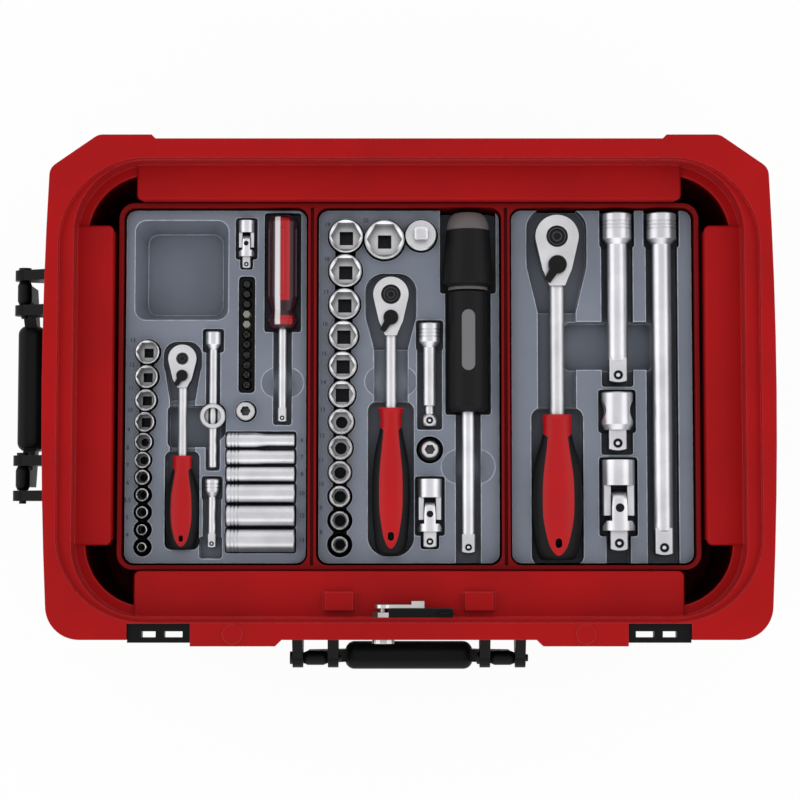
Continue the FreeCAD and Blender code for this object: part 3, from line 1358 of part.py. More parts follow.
def drive_handle_shaft():
    """The shaft with its drive square, and the headed spindle that carries the palm cap."""
    start = DOME_LENGTH + CAP_LENGTH
    grip_start = start + RING_LENGTH
    tang = grip_start + DRIVE_GRIP_LENGTH - HANDLE_TANG
    end = grip_start + DRIVE_GRIP_LENGTH + HANDLE_SHAFT_LENGTH
    head_y = start - SPINDLE_REACH
    head = rod(SPINDLE_HEAD_R, (0, -head_y, 0), (0, -head_y - SPINDLE_HEAD, 0))
    spindle = rod(SPINDLE_R, (0, -head_y, 0), (0, -tang, 0))
    shaft = rod(HANDLE_SHAFT_R, (0, -tang + SHAFT_NECK, 0), (0, -end, 0))
    square = drive_square(THREE_EIGHTHS_DRIVE, -end - HANDLE_SQUARE, -end + SHAFT_NECK)
    return in_tray(joined([head, spindle, shaft, square]), 0, HANDLE_X, HANDLE_TOP, TOOL_Z)


def ratchet_head_outline(size, z0, z1):
    """The pear-shaped head of a ratchet about its gear axis, as a plate between two heights."""
    reach = size.lever_reach
    lean = math.asin((size.head_r - size.lever_seat_r) / reach)
    cosine = math.cos(lean)
    sine = math.sin(lean)
    sides = []
    for sign in (1, -1):
        sides.append((sign * size.head_r * cosine, -size.head_r * sine, z0))
        sides.append((sign * size.lever_seat_r * cosine, -reach - size.lever_seat_r * sine, z0))
    web = prism([sides[0], sides[1], sides[3], sides[2]], Z_AXIS * (z1 - z0))
    tail = prism(
        [sides[1], sides[3], (-size.shank_r, -size.neck, z0), (size.shank_r, -size.neck, z0)],
        Z_AXIS * (z1 - z0),
    )
    discs = [disc(0, 0, size.head_r, z0, z1), disc(0, -reach, size.lever_seat_r, z0, z1)]
    return joined(discs + [web, tail])


def ratchet_body(size):
    """Head and shank of a ratchet, with the gear bore, the pawl room and the spring clip."""
    top = size.head_thickness / 2
    low = -top
    bore = size.head_r - size.head_wall
    ceiling = top - size.web
    boss = gear_boss_radius(size)
    head = ratchet_head_outline(size, low, top)
    shank = rod(size.shank_r, (0, -size.neck + size.shank_r, 0), (0, -shank_end(size), 0))
    body = joined([head, shank])
    body = body.cut(disc(0, 0, bore, low - CUT_OVER, ceiling))
    body = body.cut(disc(0, 0, size.hub_r + RUNNING_GAP, ceiling - CUT_OVER, top + CUT_OVER))
    body = body.cut(pawl_room(size))
    stem = size.lever_r * LEVER_STEM_SHARE + RUNNING_GAP
    body = body.cut(disc(0, -size.lever_reach, stem, ceiling - CUT_OVER, top + CUT_OVER))
    clip_z = (low + CLIP_SETBACK, low + CLIP_SETBACK + CLIP_THICKNESS)
    clip = disc(0, 0, bore + CLIP_BITE, *clip_z)
    body = body.cut(clip)
    clip = clip.cut(disc(0, 0, boss + RUNNING_GAP, clip_z[0] - CUT_OVER, clip_z[1] + CUT_OVER))
    return Part.makeCompound([body, clip])


def shank_end(size):
    """How far back from the gear the shank's tang reaches inside the grip."""
    return size.grip_start + (size.grip_end - size.grip_start) / 2


def gear_boss_radius(size):
    """The round boss under the gear's teeth, which runs in the spring clip."""
    return size.head_r - size.head_wall - RUNNING_GAP - size.tooth_depth - GEAR_BOSS_STEP


def pawl_room(size):
    """The closed room behind the gear for the pawl."""
    low = -size.head_thickness / 2 + size.web
    high = size.head_thickness / 2 - size.web
    radius = size.lever_seat_r - size.head_wall
    round_end = disc(0, -size.lever_reach, radius, low, high)
    half = radius * PAWL_ROOM_SHARE
    neck = block(-half, half, -size.lever_reach, -size.head_r * PAWL_REACH_SHARE, low, high)
    return joined([round_end, neck])


def ratchet_gear(size):
    """The toothed drive gear with its hub above and its drive square below."""
    top = size.head_thickness / 2
    low = -top
    tip = size.head_r - size.head_wall - RUNNING_GAP
    root = tip - size.tooth_depth
    gear_low = low + CLIP_SETBACK + CLIP_THICKNESS + RUNNING_GAP
    gear_high = top - size.web - RUNNING_GAP
    points = []
    for i in range(size.gear_teeth):
        for share, radius in ((0, root), (0.5, tip)):
            angle = 2 * math.pi * (i + share) / size.gear_teeth
            points.append((radius * math.cos(angle), radius * math.sin(angle), gear_low))
    teeth = prism(points, Z_AXIS * (gear_high - gear_low))
    boss = disc(0, 0, gear_boss_radius(size), low, gear_low + CUT_OVER / 2)
    hub = disc(0, 0, size.hub_r, gear_high - CUT_OVER / 2, top)
    ring = disc(0, 0, size.hub_r * HUB_RING_OUT_SHARE, top - HUB_RING_DEPTH, top + CUT_OVER)
    ring = ring.cut(disc(0, 0, size.hub_r * HUB_RING_IN_SHARE, top - CUT_OVER, top + CUT_OVER))
    hub = hub.cut(ring)
    square = turned_about(drive_square(size.drive, -size.square_length, SQUARE_CHAMFER), X_AXIS, 90)
    return joined([teeth, boss, hub, moved(square, 0, 0, low)])


def ratchet_lever(size):
    """The reversing lever on top of the head, thrown to one side, with its stem."""
    top = size.head_thickness / 2
    plate_low = top + RUNNING_GAP
    plate_high = plate_low + size.lever_height
    centre = (0, -size.lever_reach)
    knob = disc(*centre, size.lever_r, plate_low, plate_high)
    stem_r = size.lever_r * LEVER_STEM_SHARE
    stem = disc(*centre, stem_r, -top + size.web + RUNNING_GAP, plate_low + size.lever_height / 2)
    half = size.lever_r * LEVER_FIN_SHARE
    tip = half * LEVER_FIN_TAPER
    y = centre[1]
    fin_points = [
        (-half, y, plate_low), (half, y, plate_low),
        (tip, y - size.lever_tip, plate_low), (-tip, y - size.lever_tip, plate_low),
    ]
    fin = prism(fin_points, Z_AXIS * size.lever_height)
    lever = joined([knob, stem, fin])
    return turned_about(lever, Z_AXIS, -LEVER_THROW, Vector(*centre, 0))


def ratchet_pawl(size):
    """The rocking pawl round the lever's stem, held just clear of the gear teeth."""
    low = -size.head_thickness / 2 + size.web + RUNNING_GAP
    high = size.head_thickness / 2 - size.web - RUNNING_GAP
    radius = size.lever_seat_r - size.head_wall - RUNNING_GAP * 2
    tip = size.head_r - size.head_wall - RUNNING_GAP + PAWL_STANDOFF
    half = radius * PAWL_NOSE_SHARE
    nose = block(-half, half, -size.lever_reach, -size.head_r * PAWL_REACH_SHARE, low, high)
    pawl = joined([disc(0, -size.lever_reach, radius, low, high), nose])
    pawl = pawl.cut(disc(0, 0, tip, low - CUT_OVER, high + CUT_OVER))
    stem = size.lever_r * LEVER_STEM_SHARE + RUNNING_GAP
    pawl = pawl.cut(disc(0, -size.lever_reach, stem, low - CUT_OVER, high + CUT_OVER))
    return turned_about(pawl, Z_AXIS, -PAWL_ROCK, Vector(0, -size.lever_reach, 0))


def ellipse_wire(half_width, half_height, y):
    """An upright ellipse across the Y axis."""
    curve = Part.Ellipse(ORIGIN, half_width, half_height).toShape()
    wire = Part.Wire([curve])
    wire.rotate(ORIGIN, X_AXIS, 90)
    wire.translate(Vector(0, y, 0))
    return wire


def whole_grip(size):
    """The full form of a ratchet grip before it is divided into black and red."""
    length = size.grip_end - size.grip_start
    flat = size.grip_half_height / size.grip_half_width
    start = -size.grip_start
    wires = [ellipse_wire(size.collar_r, size.collar_r * COLLAR_FLAT, start)]
    for along, share in GRIP_SECTIONS:
        half = share * size.grip_half_width
        height = max(half * flat, size.collar_r * GRIP_LEAST_HEIGHT)
        wires.append(ellipse_wire(half, min(height, half * GRIP_MOST_HEIGHT), start - along * length))
    grip = Part.makeLoft(wires, True, False)
    tang = rod(size.shank_r + PRESS_GAP, (0, start + CUT_OVER, 0), (0, -shank_end(size), 0))
    hole_y = -size.grip_end + LANYARD_HOLE_BACK * length
    hole_r = LANYARD_HOLE_SHARE * size.collar_r
    tall = size.grip_half_width + CUT_OVER
    hole_long = hole_r * LANYARD_HOLE_LONG
    lanyard = rounded_block(-hole_r, hole_r, hole_y - hole_long, hole_y + hole_long, -tall, tall, hole_r)
    return grip.cut(tang).cut(lanyard)


def inlay_form(size):
    """The upright prism whose inside is the red inlay of a grip and whose outside is black."""
    length = size.grip_end - size.grip_start
    start = -size.grip_start
    wide = size.grip_half_width
    tall = size.grip_half_width + CUT_OVER

    def place(along, share, sign):
        return Vector(sign * share * wide, start - along * length, -tall)

    right = [place(along, share, 1) for along, share in INLAY_EDGE]
    left = [place(along, share, -1) for along, share in reversed(INLAY_EDGE)]
    edge = Part.BSplineCurve()
    edge.interpolate(right + [place(INLAY_TIP, 0, 1)] + left)
    corners = [left[-1], place(INLAY_COLLAR, 1, -1), place(-INLAY_OVER, 1, -1), place(-INLAY_OVER, 1, 1),
               place(INLAY_COLLAR, 1, 1), right[0]]
    lines = [Part.LineSegment(a, b).toShape() for a, b in zip(corners, corners[1:])]
    face = Part.Face(Part.Wire(Part.__sortEdges__([edge.toShape()] + lines)))
    return face.extrude(Z_AXIS * (2 * tall))


def at_ratchet(shape, size, tray):
    """Places a ratchet piece, built about its gear axis, in its tray."""
    return in_tray(shape, tray, size.x, size.gear_y, TOOL_Z)


def yoke(size, throat, ear_end, tail):
    """A forked yoke about the joint's middle: tail along +Y, ears at plus and minus X."""
    r = size.radius
    slot = r * YOKE_SLOT_SHARE
    ear = r * YOKE_EAR_SHARE
    body = rod(r, (0, throat, 0), (0, tail, 0))
    ears = rod(r, (0, -ear_end, 0), (0, throat + CUT_OVER, 0))
    ears = ears.common(block(-r, r, -ear_end, throat + CUT_OVER, -ear, ear))
    ears = ears.cut(block(-slot, slot, -ear_end - CUT_OVER, throat, -r, r))
    ball = Part.makeSphere(r * EAR_SPHERE_SHARE)
    behind = block(-r, r, 0, tail, -r, r)
    ears = ears.common(joined([ball, behind]))
    forked = joined([body, ears])
    pin = r * YOKE_PIN_SHARE + RUNNING_GAP
    return forked.cut(rod(pin, (-r - CUT_OVER, 0, 0), (r + CUT_OVER, 0, 0)))


def joint_socket_yoke(size):
    """The yoke with the square hole."""
    throat = size.radius * SOCKET_THROAT_SHARE
    end = size.socket_length
    fork = yoke(size, throat, size.radius * SOCKET_EAR_END_SHARE, end)
    return fork.cut(drive_bore(size.drive, end - (end - throat) * JOINT_HOLE_SHARE, end + CUT_OVER))


def joint_drive_yoke(size):
    """The yoke with the drive square, its ears above and below the cross."""
    r = size.radius
    fork = yoke(size, r * DRIVE_THROAT_SHARE, r * DRIVE_EAR_END_SHARE, size.shoulder)
    fork = turned_about(turned_about(fork, Z_AXIS, 180), Y_AXIS, 90).common(flare(size))
    end = -size.shoulder - size.square_length
    return joined([fork, drive_square(size.drive, end, -size.shoulder + SHAFT_NECK)])


def flare(size):
    """The drive yoke seen from above: full at the shoulder, slim at the pin, tapered so that it can swing."""
    r = size.radius
    slim = r * YOKE_EAR_SHARE
    far = r * (1 + EAR_SPHERE_SHARE)
    tip = slim - far * math.tan(math.radians(JOINT_SWING))
    outline = [(tip, far), (slim, 0), (slim, -r * FLARE_START_SHARE), (r, -r * FLARE_END_SHARE), (r, -far)]
    points = [(x, y, -far) for x, y in outline] + [(-x, y, -far) for x, y in reversed(outline)]
    return prism(points, Z_AXIS * (2 * far))


def joint_cross(size):
    """The block in the middle with one pin across and one pin upright."""
    half = size.radius * YOKE_SLOT_SHARE - RUNNING_GAP
    pin = size.radius * YOKE_PIN_SHARE
    reach = size.radius * JOINT_PIN_REACH_SHARE
    cube = block(-half, half, -half, half, -half, half)
    return joined([cube, rod(pin, (-reach, 0, 0), (reach, 0, 0)), rod(pin, (0, 0, -reach), (0, 0, reach))])


def at_joint(shape, size, tray):
    """Places a universal joint piece, built about its middle, in its tray."""
    return in_tray(shape, tray, size.x, size.pin_y, TOOL_Z)


# A pocket is a function of how far its walls are pushed out: 0 cuts it, the skin's thickness forms it.

def box_pocket(x0, x1, y0, y1, depth, radius=POCKET_CORNER_R):
    """A flat-floored pocket with rounded corners."""
    def form(grow, top):
        return rounded_block(x0 - grow, x1 + grow, y0 - grow, y1 + grow, TRAY_TOP - depth - grow, top,
                             radius + grow)
    return form


def round_pocket(x, y, radius, depth):
    """A round well."""
    def form(grow, top):
        return disc(x, y, radius + grow, TRAY_TOP - depth - grow, top)
    return form


def dimples(x, places):
    """A shallow bowl on each side of a tool, so that fingers can get hold of it."""
    y, radius, out = places
    ball = (radius * radius + DIMPLE_DEPTH * DIMPLE_DEPTH) / (2 * DIMPLE_DEPTH)

    def bowl(middle):
        def form(grow, top):
            low = TRAY_TOP - DIMPLE_DEPTH - grow
            sphere = Part.makeSphere(ball + grow, Vector(middle, y, low + grow + ball))
            return disc(middle, y, radius + grow + PRESS_GAP, low, top).common(sphere)
        return form
    return [bowl(x - out), bowl(x + out)]


def sloped_pocket(x0, x1, y0, y1, depth, radius, draft):
    """A rounded pocket whose walls lean in by the draft from its mouth to its floor."""
    def form(grow, top):
        low = TRAY_TOP - depth - grow
        mouth = rounded_outline(x0 - grow, x1 + grow, y0 - grow, y1 + grow, TRAY_TOP, radius + grow)
        inset = draft - grow
        floor = rounded_outline(x0 + inset, x1 - inset, y0 + inset, y1 - inset, low, radius)
        body = Part.makeLoft([floor, mouth], True, True)
        if top > TRAY_TOP:
            body = body.fuse(Part.Face(mouth).extrude(Z_AXIS * (top - TRAY_TOP)))
        return body
    return form


def standing_well(x, y, radius, length):
    """The well of a standing piece that stands proud of the tray by the same height as all."""
    return round_pocket(x, y, radius + WELL_ROOM, length - SOCKET_PROUD)


def taper_pocket(x, y0, half0, y1, half1, depth):
    """A pocket that narrows from one half width to another along Y."""
    def form(grow, top):
        low = TRAY_TOP - depth - grow
        points = [
            (x - half0 - grow, y0 + grow, low), (x + half0 + grow, y0 + grow, low),
            (x + half1 + grow, y1 - grow, low), (x - half1 - grow, y1 - grow, low),
        ]
        return prism(points, Z_AXIS * (top - low))
    return form


def bar_pocket(x, top, length, radius, rear=None, front=None):
    """A pocket for a lying round piece of one radius; an end given here may lie past the tray's edge."""
    half = radius + POCKET_ROOM
    y0 = top - length - POCKET_ROOM if front is None else front
    y1 = top + POCKET_ROOM if rear is None else rear
    return box_pocket(x - half, x + half, y0, y1, TOOL_SINK + radius + SEAT_GAP, BAR_POCKET_CORNER_R)


def extension_pockets(size, rear=None, front=None):
    """The stepped pocket for an extension bar."""
    slim = max(size.shaft_r, size.drive * SQUARE_ROOM_SHARE)
    return [
        bar_pocket(size.x, size.top, size.socket_length, size.socket_r, rear),
        bar_pocket(size.x, size.top, size.length, slim, rear, front),
    ]


def socket_wells(sizes, top, length):
    """One well for each socket of a column, and a slot through the wall between each two wells."""
    depth = length - SOCKET_PROUD
    pockets = []
    behind = None
    for _, widest, y in column(sizes, top, SOCKET_GAP):
        x = SOCKET_COLUMN_X + widest / 2
        slot = widest / 2 * SOCKET_SLOT_SHARE
        pockets.append(standing_well(x, y, widest / 2, length))
        if behind is not None:
            pockets.append(box_pocket(x - slot, x + slot, y, behind, depth, BAR_POCKET_CORNER_R))
        behind = y
    return pockets


def ratchet_pockets(size, rear=None, front=None, end_share=GRIP_POCKET_ROUND_SHARE, end_room=SEAT_GAP):
    """Room for a ratchet: deep under the head, then shank and grip; an end given may pass the tray's edge."""
    under = TOOL_SINK + size.head_thickness / 2
    head_top = size.gear_y + size.head_r + size.head_wall if rear is None else rear
    neck_y = size.gear_y - size.pocket_neck
    taper_y = size.gear_y - size.pocket_taper
    grip_y = size.gear_y - size.grip_start
    end_y = size.gear_y - size.grip_end - end_room if front is None else front
    shank_depth = TOOL_SINK + size.shank_r + SHANK_ROOM
    grip_depth = TOOL_SINK + size.grip_half_height + SEAT_GAP
    well = size.drive * SQUARE_WELL_SHARE
    half = size.pocket_half
    grip_half = size.pocket_grip_half
    middle_y = (grip_y + end_y) / 2
    return [
        box_pocket(size.x - half, size.x + half, neck_y, head_top, under + SEAT_GAP,
                   half * HEAD_POCKET_ROUND_SHARE),
        round_pocket(size.x, size.gear_y, well, under + size.square_length + SEAT_GAP),
        taper_pocket(size.x, neck_y + TAPER_OVERLAP, half, taper_y, size.pocket_shank_half,
                     under + SEAT_GAP),
        box_pocket(size.x - size.pocket_shank_half, size.x + size.pocket_shank_half,
                   grip_y - POCKET_CORNER_R, taper_y + POCKET_CORNER_R, shank_depth),
        box_pocket(size.x - grip_half, size.x + grip_half, middle_y, grip_y + size.collar_r / 2, grip_depth,
                   grip_half * GRIP_POCKET_ROUND_SHARE),
        box_pocket(size.x - grip_half, size.x + grip_half, end_y, middle_y + 2 * grip_half, grip_depth,
                   grip_half * end_share),
    ]


def joint_pockets(size, front=None):
    """Room for a universal joint: a seat for its socket, deep round the ears, slim round the square."""
    swing = math.radians(JOINT_SWING)
    half = size.radius + POCKET_ROOM
    ears = size.radius * EAR_SPHERE_SHARE + SEAT_GAP
    depth = TOOL_SINK + ears
    seat = TOOL_SINK + size.radius + SEAT_GAP
    top = size.pin_y + size.socket_length + POCKET_ROOM
    shoulder = size.pin_y - math.hypot(size.shoulder, size.radius) - SEAT_GAP
    length = size.shoulder + size.square_length
    slim = size.drive / 2 + length * math.sin(swing) + SEAT_GAP
    end = size.pin_y - math.hypot(length, size.drive / 2) - SEAT_GAP if front is None else front
    return [
        box_pocket(size.x - half, size.x + half, size.pin_y, top, seat, BAR_POCKET_CORNER_R),
        box_pocket(size.x - half, size.x + half, shoulder, size.pin_y + ears, depth, BAR_POCKET_CORNER_R),
        box_pocket(size.x - slim, size.x + slim, end, size.pin_y, depth, BAR_POCKET_CORNER_R),
    ]


def quarter_pockets():
    """Every pocket of the left tray."""
    pockets = socket_wells(QUARTER_SOCKETS, QUARTER_COLUMN_TOP, QUARTER_SOCKET_LENGTH)
    pockets += ratchet_pockets(QUARTER_RATCHET)
    pockets += extension_pockets(QUARTER_EXTENSION)
    pockets += joint_pockets(QUARTER_JOINT)
    for size, widest, y in column(DEEP_SOCKETS, DEEP_SOCKET_TOP, DEEP_SOCKET_GAP):
        half = (widest + DEEP_SOCKET_GAP) / 2 + SEAT_GAP
        pockets.append(box_pocket(
            DEEP_SOCKET_X - WELL_ROOM, DEEP_SOCKET_X + DEEP_SOCKET_LENGTH + WELL_ROOM, y - half, y + half,
            TOOL_SINK + widest / 2 + SEAT_GAP, BAR_POCKET_CORNER_R,
        ))
    holder = BIT_HOLDER_WIDTH / 2 + SEAT_GAP
    places = bit_places()
    slider_low = TEE_SLIDER_Y - TEE_SLIDER_TRAVEL - TEE_SLIDER_R - SEAT_GAP
    slider_depth = TOOL_SINK + TEE_SLIDER_HEIGHT / 2 + TEE_SLIDER_SQUARE + SEAT_GAP
    slider_half = TEE_SLIDER_R + SEAT_GAP
    pockets += dimples(SPINNER_X, SPINNER_DIMPLES)
    pockets += [
        sloped_pocket(*BIN, BIN_CORNER_R, BIN_DRAFT),
        box_pocket(*QUARTER_FINGER_ROOM),
        box_pocket(*EXTENSION_FINGER_ROOM, BAR_POCKET_CORNER_R),
        bar_pocket(SPINNER_X, SPINNER_TOP, SPINNER_LENGTH, SPINNER_FLARE_R),
        bar_pocket(SPINNER_X, SPINNER_TOP, SPINNER_SHAFT_END, QUARTER_DRIVE * SQUARE_ROOM_SHARE),
        bar_pocket(TEE_BAR_X, TEE_BAR_TOP, TEE_BAR_SOCKET, TEE_BAR_SOCKET_R),
        bar_pocket(TEE_BAR_X, TEE_BAR_TOP, TEE_BAR_LENGTH, TEE_BAR_R),
        box_pocket(TEE_BAR_X - slider_half, TEE_BAR_X + slider_half, slider_low,
                   TEE_SLIDER_Y + slider_half, slider_depth, TEE_SLIDER_POCKET_ROUND),
        box_pocket(BIT_X - holder, BIT_X + holder, places[-1] - BIT_HOLDER_END - SEAT_GAP,
                   places[0] + BIT_HOLDER_END + SEAT_GAP, BIT_LENGTH - BIT_PROUD + BIT_HOLDER_FLOOR,
                   holder / 2),
        standing_well(BIT_ADAPTOR_X, BIT_ADAPTOR_Y, BIT_ADAPTOR_R, BIT_ADAPTOR_LENGTH),
    ]
    return pockets


def three_eighths_pockets():
    """Every pocket of the centre tray."""
    pockets = socket_wells(THREE_EIGHTHS_SOCKETS, THREE_EIGHTHS_COLUMN_TOP, THREE_EIGHTHS_SOCKET_LENGTH)
    pockets += ratchet_pockets(THREE_EIGHTHS_RATCHET, None, None, GRIP_END_ROUND_SHARE, GRIP_END_ROOM)
    pockets += extension_pockets(WOBBLE_EXTENSION)
    pockets += joint_pockets(THREE_EIGHTHS_JOINT)
    pockets += [
        standing_well(LARGE_SOCKET_X, LARGE_SOCKET_Y, LARGE_SOCKET[1] / 2, THREE_EIGHTHS_SOCKET_LENGTH),
        standing_well(STEP_ADAPTOR_X, STEP_ADAPTOR_Y, STEP_ADAPTOR_R, STEP_ADAPTOR_BODY),
        standing_well(BIT_COUPLER_X, BIT_COUPLER_Y, BIT_COUPLER_R, BIT_COUPLER_LENGTH),
    ]
    pockets += dimples(THREE_EIGHTHS_RATCHET.x, THREE_EIGHTHS_DIMPLES)
    pockets += dimples(HANDLE_X, HANDLE_DIMPLES)
    cap_end = DOME_LENGTH + CAP_LENGTH + RING_LENGTH
    grip_end = cap_end + DRIVE_GRIP_LENGTH
    whole = grip_end + HANDLE_SHAFT_LENGTH + HANDLE_SQUARE
    pockets += [
        bar_pocket(HANDLE_X, HANDLE_TOP, cap_end, CAP_R, OPEN_END),
        bar_pocket(HANDLE_X, HANDLE_TOP, grip_end, GRIP_R, OPEN_END),
        bar_pocket(HANDLE_X, HANDLE_TOP, whole, THREE_EIGHTHS_DRIVE * SQUARE_ROOM_SHARE, OPEN_END, -OPEN_END),
    ]
    return pockets


def half_pockets():
    """Every pocket of the right tray."""
    pockets = ratchet_pockets(HALF_RATCHET, OPEN_END, -OPEN_END)
    pockets += joint_pockets(HALF_JOINT, -OPEN_END)
    pockets += extension_pockets(HALF_SHORT_EXTENSION, OPEN_END)
    pockets += extension_pockets(HALF_LONG_EXTENSION, OPEN_END, -OPEN_END)
    pockets += [
        box_pocket(*HALF_FINGER_ROOM),
        bar_pocket(TEE_HEAD_X, TEE_HEAD_TOP, TEE_HEAD_LENGTH, TEE_HEAD_R),
        bar_pocket(TEE_HEAD_X, TEE_HEAD_TOP, TEE_HEAD_LENGTH + TEE_HEAD_SQUARE,
                   HALF_DRIVE * SQUARE_ROOM_SHARE),
    ]
    return pockets


def formed_tray(pockets, tray):
    """A thin formed tray: a top sheet and skirt, and the skin round every pocket."""
    x = TRAY_HALF_X
    y = TRAY_HALF_Y
    corner = TRAY_CORNER_R
    skin = TRAY_SKIN
    envelope = rounded_block(-x, x, -y, y, TRAY_BOTTOM, TRAY_TOP, corner)
    hollow = rounded_block(-x + skin, x - skin, -y + skin, y - skin, TRAY_BOTTOM - CUT_OVER,
                           TRAY_TOP - skin, corner - skin)
    shell = envelope.cut(hollow)
    walls = shell.multiFuse([p(skin, TRAY_TOP) for p in pockets]).common(envelope)
    cuts = [p(0, TRAY_TOP + CUT_OVER) for p in pockets]
    body = walls.cut(cuts[0].multiFuse(cuts[1:]))
    return in_tray(body, tray, 0, 0, 0)


def ratchet_nodes(name, size, tray):
    """The six pieces of one ratchet."""
    grip = whole_grip(size)
    form = inlay_form(size)
    pieces = {
        "body": ratchet_body(size),
        "grip": grip.cut(form),
        "inlay": grip.common(form),
        "gear": ratchet_gear(size),
        "lever": ratchet_lever(size),
        "pawl": ratchet_pawl(size),
    }
    return {f"{name}_ratchet_{piece}": at_ratchet(s, size, tray) for piece, s in pieces.items()}


def joint_nodes(name, size, tray):
    """The three pieces of one universal joint."""
    pieces = {
        "socket_yoke": joint_socket_yoke(size),
        "cross": joint_cross(size),
        "drive_yoke": joint_drive_yoke(size),
    }
    return {f"{name}_joint_{piece}": at_joint(s, size, tray) for piece, s in pieces.items()}


def all_nodes():
    """Every piece by its name."""
    nodes = {
        "case_body": case_body(),
        "tool_carrier": tool_carrier(),
        "front_handle": front_handle(),
        "side_handle": side_handle(),
        "handle_brackets": four_places(handle_bracket()),
        "handle_pins": four_places(handle_pin()),
        "latch_keepers": latch_keepers(),
        "lock_barrel": lock_barrel(),
        "lock_cam": lock_cam(),
        "lock_cover": lock_cover(),
        "tray_quarter": formed_tray(quarter_pockets(), -1),
        "tray_three_eighths": formed_tray(three_eighths_pockets(), 0),
        "tray_half": formed_tray(half_pockets(), 1),
        "quarter_sockets": quarter_sockets(),
        "quarter_deep_sockets": quarter_deep_sockets(),
        "spinner_handle": spinner_handle(),
        "spinner_shaft": spinner_shaft(),
        "tee_bar": tee_bar(),
        "tee_slider": tee_slider(),
        "bit_holder": bit_holder(),
        "bits": bits(),
        "three_eighths_sockets": three_eighths_sockets(),
        "step_adaptor": step_adaptor(),
        "bit_coupler": bit_coupler(),
        "wobble_extension": wobble_extension(),
        "drive_handle_grip": drive_handle_grip(),
        "drive_handle_cap": drive_handle_cap(),
        "drive_handle_trim": drive_handle_trim(),
        "drive_handle_shaft": drive_handle_shaft(),
        "half_tee_head": tee_head(),
    }
    for name, size, tray in (
        ("quarter_extension", QUARTER_EXTENSION, -1),
        ("half_short_extension", HALF_SHORT_EXTENSION, 1),
        ("half_long_extension", HALF_LONG_EXTENSION, 1),
    ):
        nodes[name] = in_tray(extension(size), tray, size.x, size.top, TOOL_Z)
    for name, ratchet, joint, tray in (
        ("quarter", QUARTER_RATCHET, QUARTER_JOINT, -1),
        ("three_eighths", THREE_EIGHTHS_RATCHET, THREE_EIGHTHS_JOINT, 0),
        ("half", HALF_RATCHET, HALF_JOINT, 1),
    ):
        nodes.update(ratchet_nodes(name, ratchet, tray))
        nodes.update(joint_nodes(name, joint, tray))
    return nodes


os.makedirs("parts", exist_ok=True)
for node_name, node_shape in all_nodes().items():
    box = node_shape.BoundBox
    print(
        node_name, len(node_shape.Solids), node_shape.isValid(), round(node_shape.Volume),
        [round(v, 1) for v in (box.XMin, box.XMax, box.YMin, box.YMax, box.ZMin, box.ZMax)],
    )
    node_shape.exportStep(f"parts/{node_name}.step")
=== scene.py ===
# %% [markdown]
# # A socket wrench set in its open case
# The solids of this set come ready made from its construction model: the red case, the
# carrier with three formed trays, and every tool that lies in them. This lesson gives them
# their finishes, prints the size numbers on the trays, adds a bare badge, and sets up the
# light and the camera. The model is loaded as a fixed frame in metres, so nothing here has
# to be moved or fitted.

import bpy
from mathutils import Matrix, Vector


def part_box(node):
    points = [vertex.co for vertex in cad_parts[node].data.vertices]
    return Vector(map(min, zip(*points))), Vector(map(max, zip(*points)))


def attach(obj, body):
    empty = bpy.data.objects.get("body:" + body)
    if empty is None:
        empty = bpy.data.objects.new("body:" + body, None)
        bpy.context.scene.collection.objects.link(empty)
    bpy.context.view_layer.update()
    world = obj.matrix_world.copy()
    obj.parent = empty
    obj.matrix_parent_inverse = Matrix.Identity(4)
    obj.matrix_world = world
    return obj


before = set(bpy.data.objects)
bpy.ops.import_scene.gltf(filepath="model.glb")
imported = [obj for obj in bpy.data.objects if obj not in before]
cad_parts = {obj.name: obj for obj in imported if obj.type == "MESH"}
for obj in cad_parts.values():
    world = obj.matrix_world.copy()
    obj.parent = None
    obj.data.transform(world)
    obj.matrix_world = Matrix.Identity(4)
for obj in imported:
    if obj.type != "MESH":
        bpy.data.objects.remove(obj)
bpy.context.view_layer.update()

# %% Imports and units
import math
import bmesh
import bpy
from mathutils import Matrix, Vector

MM = 0.001
scene = bpy.context.scene

# %% [markdown]
# ## The camera
# The photograph looks down into the case from high above, from a little in front of its
# middle and tipped a few degrees towards the rear. A camera could be aimed with a constraint,
# but a fixed place and one small tilt say the same thing and are easy to read. The lens was
# worked out from standard lengths in the picture, such as the long extension bar.

# %% Camera
CAMERA_PLACE = Vector((-6.5, -100.2, 1638.9)) * MM
CAMERA_TILT = math.radians(3.7)
LENS = 92.85
SENSOR_WIDTH = 36.0
NEAREST = 0.01

lens = bpy.data.cameras.new("camera_above")
lens.lens = LENS
lens.sensor_width = SENSOR_WIDTH
lens.clip_start = NEAREST
camera = bpy.data.objects.new("camera_above", lens)
camera.location = CAMERA_PLACE
camera.rotation_euler = (CAMERA_TILT, 0.0, 0.0)
scene.collection.objects.link(camera)
scene.camera = camera
print("camera stands", round(CAMERA_PLACE.z, 3), "m above the floor")

# %% [markdown]
# ## Writing shaders as sums
# A finish is a graph of nodes, and most of its nodes are plain arithmetic. Placing each one
# by hand hides the idea, so a small class wraps a node's output and lets ordinary Python
# operators add the Math nodes. The second class owns one material and makes every other node.

